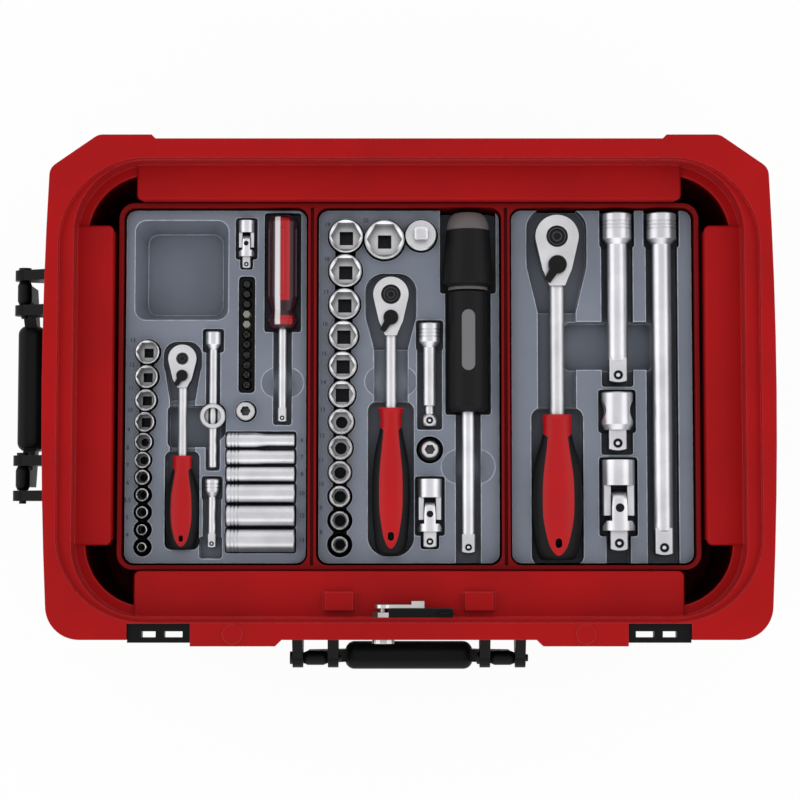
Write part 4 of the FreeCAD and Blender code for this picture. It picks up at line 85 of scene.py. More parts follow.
# %% Values that add their own Math nodes
class Flow:
    """One output of a finish's nodes, on which arithmetic adds Math nodes."""

    def __init__(self, finish, socket):
        self.finish = finish
        self.socket = socket

    def maths(self, operation, first, second):
        return self.finish.node("Math", {"operation": operation}, {0: first, 1: second})

    def __add__(self, other):
        return self.maths("ADD", self, other)

    def __sub__(self, other):
        return self.maths("SUBTRACT", self, other)

    def __rsub__(self, other):
        return self.maths("SUBTRACT", other, self)

    def __mul__(self, other):
        return self.maths("MULTIPLY", self, other)

    def most(self, other):
        return self.maths("MAXIMUM", self, other)

    __radd__ = __add__
    __rmul__ = __mul__


print("operators ready:", "+ - *")


# %% One material and its nodes
class Finish:
    """A material built round one Principled shader."""

    def __init__(self, name, **constants):
        self.material = bpy.data.materials.new(name)
        self.material.use_nodes = True
        self.tree = self.material.node_tree
        self.shader = self.tree.nodes["Principled BSDF"]
        for socket, value in constants.items():
            self.give(socket.replace("_", " "), value)

    def feed(self, socket, value):
        if isinstance(value, Flow):
            self.tree.links.new(value.socket, socket)
        else:
            socket.default_value = value

    def node(self, kind, settings=None, sockets=None, out=0):
        made = self.tree.nodes.new("ShaderNode" + kind)
        for name, value in (settings or {}).items():
            if name == "stops":
                ramp = made.color_ramp
                while len(ramp.elements) < len(value):
                    ramp.elements.new(1.0)
                for stop, (place, colour) in zip(ramp.elements, value):
                    stop.position = place
                    stop.color = (*colour, 1.0)
            else:
                setattr(made, name, value)
        for key, value in (sockets or {}).items():
            self.feed(made.inputs[key], value)
        return Flow(self, made.outputs[out])

    def give(self, socket, value):
        self.feed(self.shader.inputs[socket], value)


print("finish builder ready")

# %% [markdown]
# ## Ingredients shared by the finishes
# Every moulded or plated surface here needs the same few things: a coordinate that moves
# with its own solid, a fine grain, a soft edge where the solid has a sharp one, a mask of
# those edges for wear and painted highlights, and a mask of narrow gaps, where the colour is
# darkened as painted shade. The soft edge comes from the Bevel node, which rounds the normal
# instead of the mesh, so the solids stay exactly as they were made. The gaps come from the
# Ambient Occlusion node.

# %% Coordinates, grain and ranges
PLAIN_DETAIL = 3.0
FINE_DETAIL = 4.0
NOISE_MIDDLE = 0.5
EVEN = (1.0, 1.0, 1.0)


def spot(finish):
    """Where a point is on its own solid, in metres."""
    return finish.node("TexCoord", out="Object")


def along_axis(finish, axis):
    """One coordinate, X, Y or Z, of that point."""
    return finish.node("SeparateXYZ", {}, {0: spot(finish)}, out=axis)


def away_from(finish, place):
    """How far a point is from a place, in metres."""
    return finish.node("VectorMath", {"operation": "DISTANCE"}, {0: spot(finish), 1: place},
                       out="Value")


def grain(finish, per_metre, detail=PLAIN_DETAIL, stretch=EVEN):
    """Noise between 0 and 1, with about so many lumps to the metre."""
    place = finish.node("Mapping", {}, {"Vector": spot(finish), "Scale": stretch})
    return finish.node("TexNoise", {}, {"Vector": place, "Scale": per_metre, "Detail": detail})


def swing(noise, share):
    """How far noise is from its middle, scaled by a share."""
    return (noise - NOISE_MIDDLE) * share


def spread(finish, value, low, high, start=0.0, end=1.0):
    """A value stretched from one range to another, and held inside it."""
    return finish.node("MapRange", {}, {0: value, 1: low, 2: high, 3: start, 4: end})


def inside(finish, value, low, high, soft):
    """1 between low and high, 0 outside, with a soft step."""
    rise = spread(finish, value, low - soft, low + soft)
    fall = spread(finish, value, high - soft, high + soft)
    return rise * (1.0 - fall)


print("noise swings about", NOISE_MIDDLE)

# %% Soft edges and gaps
RAY_SAMPLES = 6
EDGE_START = 0.01
EDGE_FULL = 0.20
GAP_CLOSED = 0.13
GAP_OPEN = 0.68


def rounded(finish, radius):
    """The surface direction with its sharp edges rounded off."""
    return finish.node("Bevel", {"samples": RAY_SAMPLES}, {"Radius": radius})


def edges(finish, radius, full=EDGE_FULL):
    """About 1 on sharp edges and 0 on plain faces; a lower full mark gives a wider line."""
    flat = finish.node("NewGeometry", out="Normal")
    along = finish.node("VectorMath", {"operation": "DOT_PRODUCT"},
                        {0: rounded(finish, radius), 1: flat}, out="Value")
    return spread(finish, 1.0 - along, EDGE_START, full)


def open_air(finish, reach, least):
    """1 out in the open, falling to the least value deep in a narrow gap; mixed into a colour, it
    paints shade there.
    """
    around = finish.node("AmbientOcclusion", {"samples": RAY_SAMPLES}, {"Distance": reach},
                         out="AO")
    return spread(finish, around, GAP_CLOSED, GAP_OPEN, least, 1.0)


def raise_from(finish, height, depth, radius):
    """Turns a height into a dented surface direction, over rounded edges."""
    return finish.node("Bump", {}, {"Strength": 1.0, "Distance": depth, "Height": height,
                                    "Normal": rounded(finish, radius)})


print("edges are full at a turn of", round(math.degrees(math.acos(1 - EDGE_FULL))), "degrees")

# %% Colours
BLACK = (0.0, 0.0, 0.0, 1.0)


def colour(red, green, blue):
    """A screen colour, 0 to 255, as the light that Blender mixes, by the sRGB rule."""
    def light(level):
        level = level / 255.0
        return level / 12.92 if level <= 0.04045 else ((level + 0.055) / 1.055) ** 2.4
    return (light(red), light(green), light(blue), 1.0)


def toned(base, factor):
    """A colour made darker or brighter."""
    return (*(min(1.0, factor * level) for level in base[:3]), 1.0)


def between(finish, share, first, second):
    """A colour that goes from the first to the second."""
    return finish.node("Mix", {"data_type": "RGBA"}, {0: share, 6: first, 7: second}, out=2)


print("half bright on a screen is", round(colour(128, 128, 128)[0], 3), "of the light")

# %% [markdown]
# ## Moulded plastic
# The case, the carrier, the handles and the trays are all moulded or formed plastic. They
# differ in colour, gloss and grain, and they share how they age: the faces vary a little in
# tone and the edges are pale, partly from wear by handling and partly as a painted highlight.
# In narrow gaps of the carrier and the trays the colour is darkened as painted shade. One
# function with a few numbers makes them all, so that a change of recipe reaches every plastic
# piece at once. The picture's chrome shows no red, so rays that were mirrored see the case and
# the carrier as a dim grey.

# %% A recipe for plastic
CLOUDS_PER_METRE = 14.0
RUBS_PER_METRE = 160.0
CLOUD_SPAN = (0.35, 0.65)
RUB_SPAN = (0.30, 0.6)
LEAST_RUB = 0.4
DEEP_TONE = 0.86
CLOUD_GLOSS = 0.10
GRAIN_GLOSS = 0.08


def plastic(name, base, edge_wear_and_highlight, rough, grain_size, grain_depth, edge, gap=None, full=EDGE_FULL,
            mirrored=None, **constants):
    """Grained plastic; edges are pale from wear and a painted highlight, gap: reach and least
    light of the painted shade in narrow gaps, mirrored: colour in mirrors.
    """
    finish = Finish(name, **constants)
    cloud = grain(finish, CLOUDS_PER_METRE)
    fine = grain(finish, grain_size)
    patchy = grain(finish, RUBS_PER_METRE, FINE_DETAIL)
    # The pale edges are partly wear and partly a painted highlight.
    wear_and_highlight = edges(finish, edge, full) * spread(finish, patchy, *RUB_SPAN, LEAST_RUB, 1.0)
    body = between(finish, spread(finish, cloud, *CLOUD_SPAN), toned(base, DEEP_TONE), base)
    painted = between(finish, wear_and_highlight, body, edge_wear_and_highlight)
    # Narrow gaps are darkened towards black as painted shade.
    if gap:
        painted = between(finish, open_air(finish, *gap), BLACK, painted)
    if mirrored:
        painted = between(finish, finish.node("LightPath", out="Is Glossy Ray"), painted,
                          mirrored)
    finish.give("Base Color", painted)
    finish.give("Roughness", rough + swing(cloud, CLOUD_GLOSS) + swing(fine, GRAIN_GLOSS))
    finish.give("Normal", raise_from(finish, fine, grain_depth, edge))
    return finish


print("plastic recipe ready, deep tone", DEEP_TONE)

# %% The plastics of the case and the trays
DIM_GREY = (0.16, 0.16, 0.165, 1.0)
case_red = plastic(
    "case_red_plastic", base=colour(164, 6, 10), edge_wear_and_highlight=colour(196, 50, 54), rough=0.52,
    grain_size=1500.0, grain_depth=0.05 * MM, edge=1.2 * MM, mirrored=DIM_GREY,
    Specular_IOR_Level=0.14)
# The carrier's red is a darker copy of the case's red, painted shade for walls that sit lower in
# the case; its narrow gaps get painted shade too.
shaded_carrier_red = plastic(
    "carrier_red_plastic", base=colour(122, 6, 9), edge_wear_and_highlight=colour(146, 22, 26), rough=0.50,
    grain_size=1500.0, grain_depth=0.04 * MM, edge=0.8 * MM, gap=(12.0 * MM, 0.40),
    mirrored=DIM_GREY, Specular_IOR_Level=0.10)
handle_black = plastic(
    "handle_black_plastic", base=colour(7, 7, 7), edge_wear_and_highlight=colour(40, 40, 42), rough=0.45,
    grain_size=1800.0, grain_depth=0.04 * MM, edge=0.6 * MM, Specular_IOR_Level=0.16)
# The tray's pale edges are mostly a painted highlight, widened by its low full mark, and its
# narrow gaps get painted shade.
tray_grey = plastic(
    "tray_grey_plastic", base=colour(120, 127, 140), edge_wear_and_highlight=colour(214, 221, 230), rough=0.42,
    grain_size=1900.0, grain_depth=0.03 * MM, edge=1.4 * MM, gap=(14.0 * MM, 0.20), full=0.09,
    Specular_IOR_Level=0.3)
print("plastics:", [finish.material.name for finish in (
    case_red, shaded_carrier_red, handle_black, tray_grey)])

# %% [markdown]
# ## Satin chrome
# The tools are steel with a satin chrome plate: a clear metal with very fine brushing round
# the axis of each turned piece. The brushing could be drawn as a picture, but noise squeezed
# along one direction gives lines of any length and follows the solid wherever it lies. Tools
# that lie front to back are brushed round that axis, the deep sockets round the one from left
# to right, and standing pieces round the upright one. A ring-shaped mask, worked out from the
# tool's own box, darkens the plate in the groove round each spring ball as painted shade. The
# plate is also darkened with painted shade where its surface turns away from up, and in narrow
# gaps and hollows, found by the Ambient Occlusion node.

# %% Chrome recipe
LINES_PER_METRE = 90.0
SMEARS_PER_METRE = 45.0
DULL_TONE = 0.84
BRIGHT_TONE = 1.12
# The dark colour of the painted shade on the plate.
PAINTED_SHADE_TONE = (0.01, 0.01, 0.012, 1.0)
SHADE_REACH = 11.0 * MM
SHADE_LEAST = 0.05
FLANK_SPAN = (0.05, 0.60)
FLANK_LEAST = 0.42
RING_INNER, RING_OUTER, RING_SOFT = 0.13, 0.27, 0.03
BRUSH_GLOSS = 0.10
SMEAR_GLOSS = 0.08
BRUSH_DEPTH = 0.002 * MM


def chrome(name, base, rough, lines, edge, rings=()):
    """Brushed plate; rings are the places of spring balls and the sides of their squares, where a
    ring of painted shade darkens the plate.
    """
    finish = Finish(name, Metallic=1.0)
    brushed = grain(finish, LINES_PER_METRE, stretch=lines)
    smear = grain(finish, SMEARS_PER_METRE, FINE_DETAIL)
    plate = between(finish, spread(finish, smear, *CLOUD_SPAN), toned(base, DULL_TONE), base)
    rubbed = between(finish, edges(finish, edge), plate, toned(base, BRIGHT_TONE))
    # Painted shade: the plate darkens on flanks that turn away from up, in narrow gaps and in the
    # groove round each spring ball.
    facing = finish.node("NewGeometry", out="Normal")
    up = finish.node("SeparateXYZ", {}, {0: facing}, out="Z")
    flank_shade = spread(finish, up, *FLANK_SPAN, FLANK_LEAST, 1.0)
    unshaded = open_air(finish, SHADE_REACH, SHADE_LEAST) * flank_shade
    for place, side in rings:
        ring = inside(finish, away_from(finish, place), RING_INNER * side, RING_OUTER * side,
                      RING_SOFT * side)
        unshaded = unshaded * (1.0 - ring)
    finish.give("Base Color", between(finish, unshaded, PAINTED_SHADE_TONE, rubbed))
    finish.give("Roughness", rough + swing(brushed, BRUSH_GLOSS) + swing(smear, SMEAR_GLOSS))
    finish.give("Normal", raise_from(finish, brushed, BRUSH_DEPTH, edge))
    return finish


print("chrome recipe ready, film reaches", round(SHADE_REACH / MM, 1), "mm into gaps")

# %% Where the spring balls are
DRIVE_SIDE = {"quarter": 6.35 * MM, "three_eighths": 9.53 * MM, "half": 12.7 * MM}
DRIVES = tuple(DRIVE_SIDE)
SQUARE_ENDS = {
    "quarter": ("quarter_extension", "spinner_shaft", "quarter_joint_drive_yoke"),
    "three_eighths": ("wobble_extension", "drive_handle_shaft",
                      "three_eighths_joint_drive_yoke"),
    "half": ("half_short_extension", "half_long_extension", "half_tee_head",
             "half_joint_drive_yoke"),
}


def ball_rings():
    """Where each square that points to the front has its spring ball, and the square's side."""
    found = []
    for drive, names in SQUARE_ENDS.items():
        side = DRIVE_SIDE[drive]
        for low, high in map(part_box, names):
            middle = (low + high) / 2
            found.append(((middle.x, low.y + side / 2, middle.z + side / 2), side))
    return found


print("spring balls:", len(ball_rings()))

# %% The plated finishes
LYING = (0.6, 60.0, 0.6)
ACROSS = (60.0, 0.6, 0.6)
STANDING = (1.5, 1.5, 60.0)
lying_chrome = chrome("lying_satin_chrome", base=(0.84, 0.84, 0.87, 1.0), rough=0.36,
                      lines=LYING, edge=0.35 * MM, rings=ball_rings())
cross_chrome = chrome("cross_satin_chrome", base=(0.78, 0.78, 0.81, 1.0), rough=0.36,
                      lines=ACROSS, edge=0.35 * MM)
standing_chrome = chrome("standing_satin_chrome", base=(0.80, 0.80, 0.82, 1.0), rough=0.27,
                         lines=STANDING, edge=0.25 * MM)
forged_chrome = chrome("forged_satin_chrome", base=(0.82, 0.82, 0.84, 1.0), rough=0.42,
                       lines=EVEN, edge=0.5 * MM)
lock_nickel = chrome("lock_bright_nickel", base=(0.72, 0.71, 0.68, 1.0), rough=0.16,
                     lines=STANDING, edge=0.3 * MM)
print("plated finishes:", [finish.material.name for finish in (
    lying_chrome, cross_chrome, standing_chrome, forged_chrome, lock_nickel)])

# %% [markdown]
# ## Blackened steel
# Ratchet gears, levers and pawls, the crosses of the universal joints and the handles' pins
# are blackened, and the bits are phosphated to a dark grey. Both are thin skins over steel, so
# the edges that rub come up bright. The edge mask drives colour and metal together, which a
# single painted colour could not do.

# %% Dark steel recipe
FLECKS_PER_METRE = 420.0
FLECK_SPAN = (0.40, 0.62)
SKIN_METAL = 0.15
BARE_METAL = 0.8
FLECK_GLOSS = 0.2
FLECK_DEPTH = 0.01 * MM


def dark_steel(name, skin, bare, rough, edge, pale):
    """Blackened steel; pale is a function that gives a mask of paler metal, for turned rings and
    for bits with a painted highlight.
    """
    finish = Finish(name, Specular_IOR_Level=0.25)
    fleck = grain(finish, FLECKS_PER_METRE, FINE_DETAIL)
    rubbed = (edges(finish, edge) * spread(finish, fleck, *FLECK_SPAN)).most(pale(finish))
    finish.give("Base Color", between(finish, rubbed, skin, bare))
    finish.give("Metallic", SKIN_METAL + BARE_METAL * rubbed)
    finish.give("Roughness", rough + swing(fleck, FLECK_GLOSS))
    finish.give("Normal", raise_from(finish, fleck, FLECK_DEPTH, edge))
    return finish


print("bare edges are", SKIN_METAL + BARE_METAL, "metal")

# %% Bits with a painted highlight, and turned rings
BITS = 11
HIGHLIT_BITS = (3, 5)
BIT_HIGHLIGHT_SHARE = 0.8
BIT_HIGHLIGHT_SOFT = 0.2 * MM
TURNED_SHARES = (0.28, 0.52)
TURNED_WIDTH = 0.04
TURNED_SHINE = 0.4
TURNED_SOFT = 0.1 * MM


def highlit_bits(finish):
    """A mask of the two bits, counted from the rear, that are painted paler and more metallic as
    a highlight.
    """
    low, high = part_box("bits")
    pitch = (high.y - low.y) / BITS
    from_rear = high.y - along_axis(finish, "Y")
    first, last = HIGHLIT_BITS
    return BIT_HIGHLIGHT_SHARE * inside(finish, from_rear, first * pitch, last * pitch, BIT_HIGHLIGHT_SOFT)


def turned_rings(finish):
    """A mask of the two rubbed rings that turning leaves on the face of each ratchet gear."""
    rings = 0.0
    for drive in DRIVES:
        low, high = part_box(drive + "_ratchet_gear")
        middle = (low + high) / 2
        reach = (high.x - low.x) / 2
        here = away_from(finish, (middle.x, middle.y, high.z))
        for share in TURNED_SHARES:
            ring = inside(finish, here, (share - TURNED_WIDTH) * reach, share * reach,
                          TURNED_SOFT)
            rings = rings + TURNED_SHINE * ring
    return rings


gear_black = dark_steel("gear_blackened_steel", skin=colour(11, 11, 12),
                        bare=colour(130, 130, 134), rough=0.36, edge=0.3 * MM,
                        pale=turned_rings)
bit_dark = dark_steel("bit_phosphated_steel", skin=colour(38, 38, 40),
                      bare=colour(160, 158, 150), rough=0.40, edge=0.25 * MM, pale=highlit_bits)
# The two paler bits counted here carry a painted highlight.
print("dark steels: 2, with", HIGHLIT_BITS[1] - HIGHLIT_BITS[0], "bare bits")

# %% [markdown]
# ## Grips
# The ratchet grips are two shots of plastic: a soft black one that the hand holds, and a
# glossier red inlay on its back. The soft one has a fine matte grain and hardly any shine.
# They are made by the same recipe as the case, with a finer grain.

# %% Grip recipes
grip_black = plastic(
    "grip_soft_black", base=colour(13, 13, 15), edge_wear_and_highlight=colour(40, 39, 40), rough=0.50,
    grain_size=2600.0, grain_depth=0.05 * MM, edge=0.8 * MM, Specular_IOR_Level=0.2)
grip_red = plastic(
    "grip_red_inlay", base=colour(180, 9, 17), edge_wear_and_highlight=colour(206, 60, 68), rough=0.36,
    grain_size=2200.0, grain_depth=0.02 * MM, edge=0.8 * MM, Specular_IOR_Level=0.25)
trim_grey = plastic(
    "handle_grey_trim", base=colour(98, 94, 93), edge_wear_and_highlight=colour(140, 137, 135), rough=0.45,
    grain_size=2200.0, grain_depth=0.03 * MM, edge=0.5 * MM, Specular_IOR_Level=0.3)
print("grips: soft black, red inlay, grey trim")

# %% [markdown]
# ## The spinner handle
# This screwdriver-like handle is tinted clear plastic, a wine colour that is nearly black, with
# a red strip moulded along its top, and beside it a narrow pale strip that is a painted
# highlight. Real clear plastic would need glass, which is slow and hides the strips, so a dark
# body under a thin glossy coat is used, and masks in the handle's own length and width place
# the red strip, the painted highlight and the red patch on the flare.

# %% Spinner finish
STRIP_EDGES = (-1.4 * MM, 5.4 * MM)
STRIP_SPAN = (3.0 * MM, 63.0 * MM)
# Where the narrow pale strip, a painted highlight, lies.
HIGHLIGHT_STRIP_EDGES = (-5.2 * MM, -1.4 * MM)
HIGHLIGHT_STRIP_SPAN = (2.0 * MM, 80.5 * MM)
PATCH_EDGES = (-1.4 * MM, 7.5 * MM)
PATCH_SPAN = (74.0 * MM, 80.5 * MM)
STRIP_SOFT = 0.35 * MM
SWIRLS_PER_METRE = 120.0
SWIRL_STRETCH = (1.0, 0.15, 1.0)
SPINNER_ROUGH, SWIRL_ROUGH = 0.24, 0.10
SPINNER_COAT, SWIRL_COAT = 0.15, 0.15
SPINNER_EDGE = 0.6 * MM


def spinner_finish():
    """Dark wine plastic with its red strip and patch and a pale painted highlight strip, placed
    from the rear end of the handle.
    """
    finish = Finish("spinner_tinted_plastic", Coat_Roughness=0.12, Specular_IOR_Level=0.3)
    low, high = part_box("spinner_handle")
    x = along_axis(finish, "X") - (low.x + high.x) / 2
    y = high.y - along_axis(finish, "Y")

    def field(sides, span):
        return inside(finish, x, *sides, STRIP_SOFT) * inside(finish, y, *span, STRIP_SOFT)

    red_fields = field(STRIP_EDGES, STRIP_SPAN).most(field(PATCH_EDGES, PATCH_SPAN))
    swirl = grain(finish, SWIRLS_PER_METRE, stretch=SWIRL_STRETCH)
    dark = between(finish, swirl, colour(26, 6, 14), colour(58, 14, 30))
    red = between(finish, swirl, colour(158, 8, 18), colour(182, 14, 24))
    # The pale colour of the painted highlight strip.
    white = between(finish, swirl, colour(196, 194, 196), colour(226, 226, 228))
    striped = between(finish, red_fields, dark, red)
    finish.give("Base Color", between(finish, field(HIGHLIGHT_STRIP_EDGES, HIGHLIGHT_STRIP_SPAN), striped, white))
    finish.give("Roughness", SPINNER_ROUGH + SWIRL_ROUGH * swirl)
    finish.give("Coat Weight", SPINNER_COAT + SWIRL_COAT * swirl)
    finish.give("Normal", rounded(finish, SPINNER_EDGE))
    return finish


spinner_tint = spinner_finish()
print("spinner strip is", round((STRIP_EDGES[1] - STRIP_EDGES[0]) / MM, 1), "mm wide")

# %% [markdown]
# ## Giving each solid its finish
# A solid keeps its mesh and only its material slot changes. A table from finish to solids is
# the shortest way to say which is which, and the last line prints the names of any solids that
# were left with the plain colour they came with.

# %% Finish table
def each_drive(*endings):
    return [f"{drive}_{ending}" for drive in DRIVES for ending in endings]


FINISH_OF = [
    (case_red, ["case_body"]),
    (shaded_carrier_red, ["tool_carrier"]),
    (handle_black, ["front_handle", "side_handle", "handle_brackets", "latch_keepers",
                    "lock_cover", "bit_holder"]),
    (tray_grey, ["tray_quarter", "tray_three_eighths", "tray_half"]),
    (lock_nickel, ["lock_barrel", "lock_cam"]),
    (gear_black, ["handle_pins"] + each_drive("ratchet_gear", "ratchet_lever", "ratchet_pawl",
                                              "joint_cross")),
    (bit_dark, ["bits"]),
    (grip_black, ["drive_handle_grip", "drive_handle_cap"] + each_drive("ratchet_grip")),
    (grip_red, each_drive("ratchet_inlay")),
    (forged_chrome, each_drive("ratchet_body")),
    (lying_chrome, ["tee_bar", "tee_slider", "quarter_extension", "spinner_shaft",
                    "wobble_extension", "drive_handle_shaft", "half_short_extension",
                    "half_long_extension", "half_tee_head"]
     + each_drive("joint_socket_yoke", "joint_drive_yoke")),
    (cross_chrome, ["quarter_deep_sockets"]),
    (standing_chrome, ["quarter_sockets", "three_eighths_sockets", "step_adaptor",
                       "bit_coupler"]),
    (trim_grey, ["drive_handle_trim"]),
    (spinner_tint, ["spinner_handle"]),
]
finished = set()
for finish, names in FINISH_OF:
    for name in names:
        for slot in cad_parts[name].material_slots:
            slot.material = finish.material
        finished.add(name)
left_plain = sorted(set(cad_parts) - finished)
print("finished", len(finished), "solids, left plain:", left_plain)

# %% [markdown]
# ## Size numbers
# Each socket's size is printed on the tray beside it. The numbers are real letters made by
# Blender's own font, turned into meshes and laid on the tray as a very thin print, one piece
# for each column so that a column lifts out with its tray. The places come from the sockets
# themselves: the solid is split into its loose sockets and each one's box says where it is.

# %% Where the loose sockets stand
MICRON_DIGITS = 6


def loose_boxes(name):
    """The boxes of the separate solids in one node, from the rear to the front."""
    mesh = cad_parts[name].data
    spots = [tuple(round(c, MICRON_DIGITS) for c in v.co) for v in mesh.vertices]
    chief = {}

    def root(key):
        while chief.setdefault(key, key) != key:
            chief[key] = chief[chief[key]]
            key = chief[key]
        return key

    for edge in mesh.edges:
        chief[root(spots[edge.vertices[0]])] = root(spots[edge.vertices[1]])
    groups = {}
    for key in set(spots):
        groups.setdefault(root(key), []).append(key)
    boxes = [(Vector(map(min, zip(*keys))), Vector(map(max, zip(*keys))))
             for keys in groups.values()]
    return sorted(boxes, key=lambda box: -(box[0].y + box[1].y))


standing_quarter = loose_boxes("quarter_sockets")
bit_adaptor = max(standing_quarter, key=lambda box: box[1].x)
standing_quarter.remove(bit_adaptor)
standing_three_eighths = loose_boxes("three_eighths_sockets")
lying_deep = loose_boxes("quarter_deep_sockets")
print("sockets:", len(standing_quarter), len(standing_three_eighths), len(lying_deep))

# %% Printing one column
DIGIT_HEIGHT = 2.8 * MM
DIGIT_SHARE = 0.69
PRINT_HALF = 0.04 * MM
PRINT_STROKE = 0.07 * MM
print_grey = plastic(
    "size_print_grey", base=colour(40, 44, 54), edge_wear_and_highlight=colour(56, 61, 72), rough=0.55,
    grain_size=2400.0, grain_depth=0.01 * MM, edge=0.05 * MM)


def placed_piece(name, mesh, finish):
    """A new piece of the scene with its finish."""
    mesh.materials.append(finish.material)
    piece = bpy.data.objects.new(name, mesh)
    scene.collection.objects.link(piece)
    return piece


def printed_number(text, place):
    """A thin mesh of one number, centred on a place."""
    letters = bpy.data.curves.new("number", "FONT")
    letters.body = text
    letters.size = DIGIT_HEIGHT / DIGIT_SHARE
    letters.align_x = "CENTER"
    letters.align_y = "CENTER"
    letters.extrude = PRINT_HALF
    letters.offset = PRINT_STROKE
    stand_in = bpy.data.objects.new("number", letters)
    scene.collection.objects.link(stand_in)
    bpy.context.view_layer.update()
    shaped = stand_in.evaluated_get(bpy.context.evaluated_depsgraph_get())
    mesh = bpy.data.meshes.new_from_object(shaped)
    mesh.transform(Matrix.Translation(place))
    bpy.data.objects.remove(stand_in)
    return mesh


def printed_column(name, body, numbers, places):
    """All numbers of one column as a single piece that rides on a tray."""
    joined = bmesh.new()
    for text, place in zip(numbers, places):
        joined.from_mesh(printed_number(text, place))
    mesh = bpy.data.meshes.new(name)
    joined.to_mesh(mesh)
    joined.free()
    piece = placed_piece(name, mesh, print_grey)
    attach(piece, body)
    print(name, "has", len(numbers), "numbers and", len(mesh.polygons), "faces")


print("digits are", round(DIGIT_HEIGHT / MM, 1), "mm high")

# %% The three columns of numbers
QUARTER_SIZES = ("13", "12", "11", "10", "9", "8", "7", "6", "5.5", "5", "4")
THREE_EIGHTHS_SIZES = ("19", "18", "17", "16", "15", "14", "13", "12", "11", "10", "9", "8")
LARGE_SIZE = "22"
DEEP_SIZES = ("6", "7", "8", "10", "12", "13")
QUARTER_SHIFT = (-11.1 * MM, 8.8 * MM)
THREE_EIGHTHS_SHIFT = (-13.6 * MM, 8.9 * MM)
LARGE_SHIFT = (-13.6 * MM, 14.6 * MM)
DEEP_X = -77.7 * MM


def tray_top(name):
    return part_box(name)[1].z + PRINT_HALF


def beside(boxes, shift, z):
    """Places at a fixed shift from the middles of the sockets."""
    middles = [(low + high) / 2 for low, high in boxes]
    return [Vector((middle.x + shift[0], middle.y + shift[1], z)) for middle in middles]


left_first = sorted(standing_three_eighths, key=lambda box: box[0].x + box[1].x)
column = left_first[:len(THREE_EIGHTHS_SIZES)]
column.sort(key=lambda box: -box[0].y - box[1].y)
large = left_first[len(THREE_EIGHTHS_SIZES):]
left_top = tray_top("tray_quarter")
mid_top = tray_top("tray_three_eighths")
printed_column("quarter_size_numbers", "quarter_tray", QUARTER_SIZES,
               beside(standing_quarter, QUARTER_SHIFT, left_top))
printed_column("deep_size_numbers", "quarter_tray", DEEP_SIZES,
               [Vector((DEEP_X, (low.y + high.y) / 2, left_top)) for low, high in lying_deep])
printed_column("three_eighths_size_numbers", "three_eighths_tray",
               THREE_EIGHTHS_SIZES + (LARGE_SIZE,),
               beside(column, THREE_EIGHTHS_SHIFT, mid_top) + beside(large, LARGE_SHIFT, mid_top))

# %% [markdown]
# ## The bare badge
# The straight drive handle has an oval inset with a grey badge, left bare here. It is a thin
# moulded plate that follows the round of the grip. A flat plate would stick out of the grip's
# sides, so the mesh is made of rings that shrink towards the middle, each point lifted to the
# height that a slightly smaller round has at its place.

# %% Badge rings
BADGE_LENGTH = 44.4 * MM
BADGE_HALF_WIDTH = 5.0 * MM
BADGE_FLOOR = 12.86 * MM
BADGE_ROUND = 14.42 * MM
BADGE_FROM_GRIP_END = 14.6 * MM
BADGE_STEPS = 32
# Each ring's inset from the outline and its lift from the round; None is the flat floor.
BADGE_RINGS = ((0.0, None), (0.0, -0.30 * MM), (0.18 * MM, -0.06 * MM), (0.5 * MM, 0.0),
               (0.9 * MM, 0.0), (1.1 * MM, -0.12 * MM), (2.2 * MM, -0.12 * MM),
               (3.6 * MM, -0.12 * MM), (4.9 * MM, -0.12 * MM))


def badge_ring(inset, lift, middle):
    """One ring of points of the oval, drawn in by the inset."""
    radius = BADGE_HALF_WIDTH - inset
    straight = BADGE_LENGTH / 2 - BADGE_HALF_WIDTH
    ring = []
    for step in range(BADGE_STEPS):
        angle = 2 * math.pi * (step + 0.5) / BADGE_STEPS
        x = radius * math.cos(angle)
        y = radius * math.sin(angle) + math.copysign(straight, math.sin(angle))
        z = BADGE_FLOOR if lift is None else math.sqrt(BADGE_ROUND ** 2 - x * x) + lift
        ring.append(middle + Vector((x, y, z)))
    return ring


print("badge rings:", len(BADGE_RINGS), "of", BADGE_STEPS, "points")

# %% Badge plate
badge_grey = plastic(
    "badge_bare_grey", base=colour(112, 112, 115), edge_wear_and_highlight=colour(160, 160, 163), rough=0.40,
    grain_size=2400.0, grain_depth=0.03 * MM, edge=0.25 * MM, Specular_IOR_Level=0.3)
low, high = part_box("drive_handle_grip")
badge_middle = (low + high) / 2
badge_middle.y = high.y - BADGE_FROM_GRIP_END - BADGE_LENGTH / 2
plate = bmesh.new()
rings = [[plate.verts.new(point) for point in badge_ring(inset, lift, badge_middle)]
         for inset, lift in BADGE_RINGS]
for outer, inner in zip(rings, rings[1:]):
    for i in range(BADGE_STEPS):
        plate.faces.new((outer[i - 1], outer[i], inner[i], inner[i - 1]))
plate.faces.new(rings[-1])
plate.faces.new(reversed(rings[0]))
for face in plate.faces:
    face.smooth = True
badge_mesh = bpy.data.meshes.new("drive_handle_badge")
plate.to_mesh(badge_mesh)
plate.free()
badge = placed_piece("drive_handle_badge", badge_mesh, badge_grey)
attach(badge, "drive_handle")
print("badge has", len(badge_mesh.polygons), "faces")

# %% [markdown]
# ## Light, floor and backdrop
# The picture was taken in a white studio: soft light from large panels overhead, and a white
# sweep all round. Four area lamps stand in for the panels, one on each side, so that bars and
# sockets show soft bright streaks whichever way they lie. The world is white round the
# horizon, where the camera and the chrome see the sweep, and greyer overhead, where a studio
# has its dim ceiling, and the light that it sheds is an even grey. The floor mixes a white
# glow for the camera and the chrome with a plain white that still takes the shadow.

